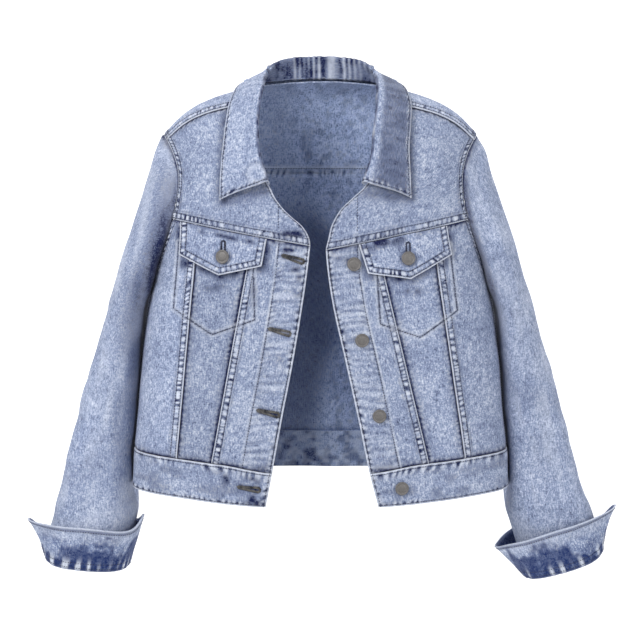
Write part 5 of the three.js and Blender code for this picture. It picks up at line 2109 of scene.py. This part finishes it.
@dataclass
class Arm:
    """One sleeve and its turned-up cuff."""

    side: Side
    shop: Workshop

    def section(self, at: Array, turn: Array) -> Array:
        """The oblong of a sleeve section, for the left arm: cosine outwards, sine to the front.

        Args:
            at: share of the sleeve's length.
            turn: place round it.

        Returns:
            The points.
        """
        line = SLEEVE.read(at)
        if self.side is Side.LEFT:
            share = smooth((at - LEFT_CUFF_FROM) / (1 - LEFT_CUFF_FROM))
            for name, amount in LEFT_CUFF_SHIFT.items():
                line[name] = line[name] + amount * share
        middle = stack((line["outX"] + line["inX"]) / 2, line["midY"], (line["outZ"] + line["inZ"]) / 2)
        arm = stack(line["outX"], line["midY"], line["outZ"]) - middle
        bulge = (1 + 0.06 * np.sin(2 * turn) ** 2)[..., None]
        foot = self.end_values(turn)[0] * smooth((at - END_FROM) / (1 - END_FROM)) * np.cos(turn) ** 6
        depth = -line["depth"] * np.sin(turn) * bulge[..., 0]
        return middle + arm * np.cos(turn)[..., None] * bulge + stack(np.zeros_like(turn), depth, foot)

    def end_values(self, turn: Array) -> tuple[Array, ...]:
        """The row of SLEEVE_ENDS for each turn, the outer one where the cosine is above 0."""
        outer, inner = SLEEVE_ENDS[self.side]
        return tuple(np.where(np.cos(turn) > 0, a, b) for a, b in zip(outer, inner))

    def plain(self, turn: Array, at: Array) -> Array:
        """The sleeve without folds: its sections, drawn to the armhole near their start."""
        start = armhole_at(turn) - self.section(np.zeros_like(at), turn)
        point = self.section(at, turn) + start * (1 - smooth(at / 0.3))[..., None]
        return clear_of_body(point)

    def surface(self, u: Array, v: Array) -> Array:
        """The sleeve by share of a turn and of its length, with its folds.

        Args:
            u: share of a turn.
            v: share of the length.

        Returns:
            The points.
        """
        turn = (u if self.side is Side.LEFT else 1 - u) * 2 * PI
        rise = np.zeros_like(turn)
        for at, fold_turn, lean, along, across, height in SLEEVE_FOLDS.rows:
            wrapped = np.arctan2(np.sin(turn - fold_turn), np.cos(turn - fold_turn))
            rise = rise + height * bell(v - at, along) * bell(wrapped - lean * (v - at), across)
        point = self.plain(turn, v)
        middle = (self.plain(turn + PI, v) + point) / 2
        out = unit(point - middle)
        point = point + out * (rise * smooth((v - 0.04) / 0.12) * smooth((0.97 - v) / 0.1))[..., None]
        snug = SLEEVE_SNUG * bell(point[..., 2] - ARMPIT_Z + 6, 16) * smooth(-np.cos(turn)) * smooth(v / 0.02)
        point = point - snug[..., None] * (1, 0, 0)
        return point * (self.side.value, 1, 1)

    def creases(self, points: Array) -> Marks:
        """Fine creases: bands of noise drawn out across the arm, stronger at the elbow, paler on their
        ridges and darker in their troughs, which is wash wear together with painted light and shade; and
        painted shade on the inner front of the arm beside the body.

        Args:
            points: the sleeve's face.

        Returns:
            The marks of each vertex.
        """
        x, y, z = points[..., 0] * self.side.value, points[..., 1], points[..., 2]
        slant = z + 0.35 * (x - 250)
        bands = value_noise(slant, y * 0.35 + 60 * (y > 15), 15, 81 + self.side.value)
        wide = value_noise(slant, y * 0.3, 31, 82 + self.side.value)
        elbow = 0.35 + 0.65 * bell(z + 350, 110) + 0.5 * bell(z + 560, 40)
        beside = x - np.where(z > ARMPIT_Z, armhole_front(z), half_width(z)) - 2
        upright = value_noise(x, z * 0.22, 13, 85 + self.side.value)
        top = smooth((z + 330) / 90)
        rise = (1.5 * wide + 0.9 * bands) * elbow + 2.2 * upright * top * bell(beside - 14, 26)
        # Painted shade on the arm's inner front beside the body: wide on the right sleeve, narrow on the
        # left.
        strength, reach = (0.85, 25) if self.side is Side.RIGHT else (0.8, 5)
        shade = strength * bell(np.maximum(beside, 0), reach) * (y < 12) * smooth((-78 - z) / 40)
        shade = shade * mix(0.55, 1.0, top) * (1 + 0.35 * upright * (self.side is Side.RIGHT))
        # Darker crease troughs and paler ridges: wash wear together with painted light and shade.
        folds = 0.26 * np.maximum(-wide, 0) * elbow + 0.1 * np.maximum(-upright, 0) * top
        streaks = 0.28 * np.maximum(value_noise(x + 0.2 * z, z * 0.16, 9, 87 + self.side.value), 0)
        fade = np.maximum(0.26 * np.maximum(wide, 0) * elbow, streaks)
        return Marks(rise, fade, np.clip(np.maximum(shade, folds), 0, 1))

    def sleeve(self) -> None:
        """Builds the sleeve tube, with painted shade where it enters the cuff."""
        steps = (np.linspace(0, 1, 121), stretches((0, 0.03, 1), (9, 190)))
        borders = {Border.FOOT: Sewing(Finish.TUCKED, 0.0)}
        patch = Patch(self.surface, borders, (400, 580), closed=True, steps=steps, extra=self.creases)
        cloth = ClothMesh(f"{self.side.word}_sleeve", CLOTH - 0.2, [patch], 0.1, 59 + self.side.value)
        self.shop.make(cloth, f"{self.side.word}_sleeve_stitches")

    def cuff_ring(self, turn: Array, out: Array, up: Array) -> Array:
        """A point of the cuff: out from the sleeve's end and up along the arm, flared to its ends.

        Args:
            turn: place round the wrist.
            out: distance outwards.
            up: distance up the arm.

        Returns:
            The points.
        """

        def at(turned: Array) -> Array:
            """The sleeve's end at a turn."""
            return self.section(np.ones_like(turn), turned)

        centre = (at(np.zeros_like(turn)) + at(np.full_like(turn, PI))) / 2
        point = at(turn)
        tangent = at(turn + 1e-3) - at(turn - 1e-3)
        axis = unit(np.cross(at(np.full_like(turn, PI / 2)) - centre, at(np.zeros_like(turn)) - centre))
        outward = unit(np.cross(tangent, axis))
        outward = outward * np.sign((outward * (point - centre)).sum(-1, keepdims=True))
        outwards = np.cos(turn)
        foot, wing, tip = self.end_values(turn)
        share = np.clip(up / CUFF_HEIGHT, 0, 1)
        behind = smooth(outwards / 0.6) * smooth(-2.2 * np.sin(turn))
        near = np.maximum(0, np.sin(turn)) ** 3
        flare = out + tip * outwards**14 * share
        stand = (wing - foot) * np.where(outwards > 0, outwards**6, outwards**12)
        rise = up + (stand + CUFF_NEAR_RISE * near - CUFF_FAR_DROP * behind) * share**2
        axis = axis * np.sign(axis[..., 2:3])
        return (point + outward * flare[..., None] + axis * rise[..., None]) * (self.side.value, 1, 1)

    def cuff(self) -> None:
        """Builds the cuff: its closed section, rounded to 58 points, carried round the wrist."""
        outs, ups = CUFF_SECTION.column("out"), CUFF_SECTION.column("up")
        corner = np.arange(len(outs) + 1)
        outs, ups = np.append(outs, outs[0]), np.append(ups, ups[0])
        fine = stretches((0, 4, 7, 8, len(corner) - 1), (18, 26, 6, 18))[:-1]
        out, up = np.interp(fine, corner, outs), np.interp(fine, corner, ups)
        shown = smooth((fine - 1.5) / 1.0) * smooth((8.2 - fine) / 0.8)
        count = 190
        turn, _ = np.meshgrid(np.arange(count) / count * 2 * PI, fine, indexing="ij")
        out, up, shown = (np.broadcast_to(a, turn.shape) for a in (out, up, shown))
        along = turn / (2 * PI) * 330
        wave = puckers(along, up * 0.4, 13.5, 91 + self.side.value)
        low, high = bell(up - 4, 9), bell(up - 47, 5)
        rise = shown * (1.0 * wave * low + 0.35 * wave * high + 0.5 * value_noise(along, up, 16, 92))
        grooves = sum(bell(up - row, 0.8) for row in CUFF_ROWS)
        rise = rise - 0.3 * grooves * shown
        direction = (turn if self.side is Side.LEFT else -turn)
        points = self.cuff_ring(direction, out + rise, up)
        inward = smooth(0.75 - 0.75 * np.cos(turn))
        ragged = value_noise(along, up * 0.5, 11, 93 + self.side.value) + 0.5 * value_noise(along, up, 4, 94)
        reach = 7 + 26 * inward + 16 * ragged
        patchy = smooth((reach - up) / 14 + 0.5)
        white, notch = smooth((wave - 0.15) / 0.5), smooth((-wave - 0.05) / 0.5)
        fade = 1.1 * bell(up - 53, 1.1) + white * low + 0.25 * smooth((up - 32) / 8) + bell(up + 3.6, 1.0)
        fade = shown * fade
        ink = 0.8 * patchy + 0.5 * notch * low + 0.9 * bell(up - 49.6, 2.0) + 0.5 * grooves
        ink = shown * np.clip(ink, 0, 1)
        fade = fade * (1 - 0.7 * patchy * (1 - low))
        inner_dark = (1 - shown) * 0.8 * smooth((fine - 7.6) / 0.6)
        ink = np.clip(ink + inner_dark, 0, 1)
        rows, cols = turn.shape
        ids = np.arange(rows * cols).reshape(rows, cols)
        node = f"{self.side.word}_cuff"
        quads = grid_quads(np.pad(ids, (0, 1), mode="wrap"))
        obj = mesh_object(node + "_cloth", points.reshape(-1, 3) * MM, quads, self.shop.finishes.cuff)
        set_floats(obj, "fade", np.clip(fade, 0, 1).ravel())
        set_floats(obj, "ink", ink.ravel())
        set_floats(obj, "tone", np.full(ids.size, -0.04))
        set_uv(obj, np.stack([along, up], -1).reshape(-1, 2) * MM)
        place(obj, "denim_dark", node)
        for row in CUFF_ROWS:
            k = int(np.argmin(np.abs(up[0] - row) + 100 * (fine < 3.5) + 100 * (fine > 7.2)))
            ring, away = points[:, k], unit((points[:, k] - points[:, k].mean(axis=0)) * (1, 1, 0.1))
            order = np.append(np.arange(rows), 0)
            self.shop.stitches.sew(f"{self.side.word}_cuff_stitches", ring[order], away[order], 0.15)

    def build(self) -> None:
        """Builds the sleeve and the cuff."""
        self.sleeve()
        self.cuff()


# Buttons and buttonholes

@dataclass
class TackButton:
    """A tack button: a rolled rim, a ring and a low dome, on a short shank."""

    name: str
    x: float
    z: float
    seat: float
    profile: Table = Table("radius height", (
        (0, 0.5), (3.2, 0.5), (3.2, 1.6), (7.6, 1.7), (8.3, 2.0), (8.5, 2.6), (8.35, 3.3), (7.9, 3.75),
        (7.2, 3.85), (6.6, 3.6), (6.2, 3.3), (5.6, 3.35), (5.0, 3.6), (4.2, 3.85), (2.6, 4.0), (0, 4.1),
    ))

    def build(self, metal: Material) -> None:
        """Makes the button by carrying its profile round its axis."""
        rings = 40
        radius, height = self.profile.column("radius"), self.profile.column("height")
        turn = np.arange(rings) / rings * 2 * PI
        (base,), (normal,) = front_frame(np.array([float(self.x)]), np.array([float(self.z)]), 1.0)
        side = unit(np.cross(normal, (0.0, 0.0, 1.0)))
        up = np.cross(normal, side)
        circle = np.cos(turn)[:, None] * side + np.sin(turn)[:, None] * up
        body = radius[None, 1:-1, None] * circle[:, None] + (height[1:-1] + self.seat)[None, :, None] * normal
        ends = np.stack([height[0] + self.seat, height[-1] + self.seat])[:, None] * normal
        points = np.concatenate([(base + body).reshape(-1, 3), base + ends]) * MM
        cols = len(radius) - 2
        ids = np.arange(rings * cols).reshape(rings, cols)
        nxt = np.roll(ids, -1, axis=0)
        quads = grid_quads(np.pad(ids, ((0, 1), (0, 0)), mode="wrap")).tolist()
        low, high = rings * cols, rings * cols + 1
        fans = [[low, int(a), int(b)] for a, b in zip(ids[:, 0], nxt[:, 0])]
        fans += [[high, int(b), int(a)] for a, b in zip(ids[:, -1], nxt[:, -1])]
        obj = mesh_object(self.name + "_metal", points, quads + fans, metal)
        centre = base * MM
        faces = obj.data.polygons
        if sum(f.area * float((np.array(f.center) - centre) @ np.array(f.normal)) for f in faces) < 0:
            obj.data.flip_normals()
        place(obj, "button_metal", self.name)


@dataclass
class Buttonhole:
    """A keyhole buttonhole: ribbed thread round a slit."""

    name: str
    x: float
    z: float
    turn: float
    lift: Callable[[Array, Array], Array]
    length: float = 27.0
    width: float = 4.6
    cord: float = 1.55
    tapered: bool = True

    def build(self, thread: Material) -> None:
        """Makes the ribbed ring: a tube along a stadium outline whose radius ripples by stitch."""
        stations, sides = 160, 8
        half, r = self.length / 2 - self.width / 2, self.width / 2
        ends = np.cumsum([2 * half, PI * r, 2 * half])
        s = np.linspace(0, 1, stations, endpoint=False) * (ends[-1] + PI * r)
        parts = [s < end for end in ends]
        first, second = (np.clip((s - end) / r, 0, PI) for end in (ends[0], ends[2]))
        along = [s - half, half + r * np.sin(first), half - (s - ends[1])]
        across = [np.full(stations, -r), -r * np.cos(first), np.full(stations, r)]
        a = np.select(parts, along, -half - r * np.sin(second))
        b = np.select(parts, across, r * np.cos(second))
        if self.tapered:
            b = b * mix(0.45, 1.15, smooth((a + half + r) / self.length))
        c, d = math.cos(self.turn), math.sin(self.turn)
        tube = np.arange(sides) / sides * 2 * PI
        thick = self.cord * (1 + 0.22 * np.sin(2 * PI * s / 2.2))
        away = unit(np.stack([np.gradient(b), -np.gradient(a)], -1))
        pa = a[:, None] + away[:, :1] * thick[:, None] * np.cos(tube)
        pb = b[:, None] + away[:, 1:] * thick[:, None] * np.cos(tube)
        x, z = self.x + c * pa - d * pb, self.z + d * pa + c * pb
        base, normal = front_frame(x, z)
        high = self.lift(x, z) + 0.55 * thick[:, None] * np.sin(tube)
        points = (base + normal * high[..., None]) * MM
        ids = np.pad(np.arange(stations * sides).reshape(stations, sides), (0, 1), mode="wrap")
        place(mesh_object(self.name, points.reshape(-1, 3), grid_quads(ids.T), thread), "denim")


@dataclass
class Fastenings:
    """All buttons and buttonholes."""

    shop: Workshop

    def build(self, fronts: dict[Side, Front]) -> None:
        """Builds seven buttons, four front buttonholes, the band's and two on the flaps."""
        metal = self.shop.finishes.metal
        for name, (x, z) in FRONT_BUTTONS.items():
            TackButton(f"{name}_button", x, z, 0.2).build(metal)
        TackButton("waistband_button", *BAND_BUTTON, BAND_PROUD + 0.2).build(metal)
        thread = self.shop.finishes.hole_thread
        for k, (x, z, turn) in enumerate(BUTTONHOLES):
            lift = 0.45 + (BAND_PROUD if z < BAND_TOP_Z else 0)
            Buttonhole(f"right_buttonhole_{k + 1}", -x, z, math.radians(turn), same(lift)).build(thread)
        for side, front in fronts.items():
            x, z = FLAP_BUTTONS[side]
            seat = FLAP_GAP + FLAP + FLAP_LIFT * 0.5
            TackButton(f"{side.word}_flap_button", side.value * x, z, seat).build(metal)
            Buttonhole(
                f"{side.word}_flap_buttonhole", side.value * x, z + 12.5, PI / 2,
                lambda a, b, f=front: f.flap_lift(a, f.flap_height_share(a, b)) + 0.2, 13.0, 4.4, 1.2, False,
            ).build(self.shop.finishes.thread)


# Studio

@dataclass
class Studio:
    """White floor and sky, soft lights and the camera of the photograph."""

    elevation: float = 6.8
    distance: float = 2.389
    aim_z: float = -0.2875
    lens: float = 105.3
    floor_z: float = -1.4
    daylight: float = 0.48

    def build(self) -> None:
        """Places the camera, the floor and the lights."""
        scene = bpy.context.scene
        camera = bpy.data.objects.new("camera", bpy.data.cameras.new("camera"))
        scene.collection.objects.link(camera)
        tilt = math.radians(self.elevation)
        away, up = self.distance * math.cos(tilt), self.distance * math.sin(tilt)
        camera.location = (-0.0006, -away, self.aim_z + up)
        camera.rotation_euler = (PI / 2 - tilt, 0, 0)
        camera.data.lens = self.lens
        camera.data.sensor_width = 36
        scene.camera = camera
        self.floor()
        self.light("key", (-1.6, -2.1, 1.2), 1.3, 60)
        self.light("fill", (1.7, -2.2, 0.1), 2.2, 30)
        self.light("top", (0.3, 0.9, 1.9), 1.8, 22)
        scene.world = self.world()
        scene.view_settings.view_transform = "Standard"

    def world(self) -> bpy.types.World:
        """A white backdrop whose daylight on the jacket is dimmer than the backdrop looks."""
        world = bpy.data.worlds.new("white")
        world.use_nodes = True
        n = Nodes(world.node_tree)
        background = world.node_tree.nodes["Background"]
        background.inputs[0].default_value = (1, 1, 1, 1)
        seen = n.add("ShaderNodeLightPath").outputs["Is Camera Ray"]
        brighter = n.math("MULTIPLY", seen, 1 - self.daylight)
        n.feed(background.inputs[1], n.math("ADD", self.daylight, brighter))
        return world

    def floor(self) -> None:
        """A wide floor that curves up behind into a wall: a quarter circle between two planes."""
        turn = np.linspace(0, PI / 2, 24)
        y = np.concatenate([[-0.5], 7 + 1.6 * np.sin(turn), [8.6]])
        z = np.concatenate([[0], 1.6 - 1.6 * np.cos(turn), [7]]) + self.floor_z
        x = np.array([-9.0, 9.0])
        points = stack(x[None, :], y[:, None], z[:, None]).reshape(-1, 3)
        k = np.arange(len(y) - 1) * 2
        quads = np.stack([k, k + 1, k + 3, k + 2], -1)
        material, n, shader = new_material("pale floor")
        pale = n.colour_mix(n.noise(n.place(), 30, 3, 0.6), (0.93, 0.93, 0.93, 1), (0.97, 0.97, 0.97, 1))
        n.fill(
            shader, Base_Color=pale, Roughness=0.9, Emission_Color=(1, 1, 1, 1), Emission_Strength=0.55,
        )
        obj = mesh_object("studio_floor", points, quads, material)
        obj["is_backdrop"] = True

    @staticmethod
    def light(name: str, location: tuple[float, float, float], size: float, power: float) -> None:
        """Adds a square soft light that looks at the jacket.

        Args:
            name: the lamp's name.
            location: its place in metres.
            size: side of its square.
            power: its watts.
        """
        data = bpy.data.lights.new(name, "AREA")
        data.size, data.energy = size, power
        lamp = bpy.data.objects.new(name, data)
        lamp.location = location
        away = np.array(location) - (0, 0, -0.3)
        tilt, turn = math.atan2(math.hypot(away[0], away[1]), away[2]), math.atan2(away[1], away[0])
        lamp.rotation_euler = (tilt, 0, turn + PI / 2)
        bpy.context.scene.collection.objects.link(lamp)


def main() -> None:
    """Builds the jacket's pieces in order."""
    logging.basicConfig(level=logging.INFO, format="%(message)s", stream=sys.stdout)
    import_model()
    solid_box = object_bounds()
    Studio().build()
    shop = Workshop(Finishes.make())
    fronts = {side: Front(side, shop) for side in Side}
    for front in fronts.values():
        front.build()
    Back(shop).build()
    Waistband(shop).build()
    Collar(shop).build()
    for side in Side:
        Arm(side, shop).build()
    Fastenings(shop).build(fronts)
    shop.stitches.build(shop.finishes.thread)
    boxes = {name: [[float(c) for c in corner] for corner in box] for name, box in (("cad", solid_box), ("visual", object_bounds()))}


if __name__ == "__main__":
    main()
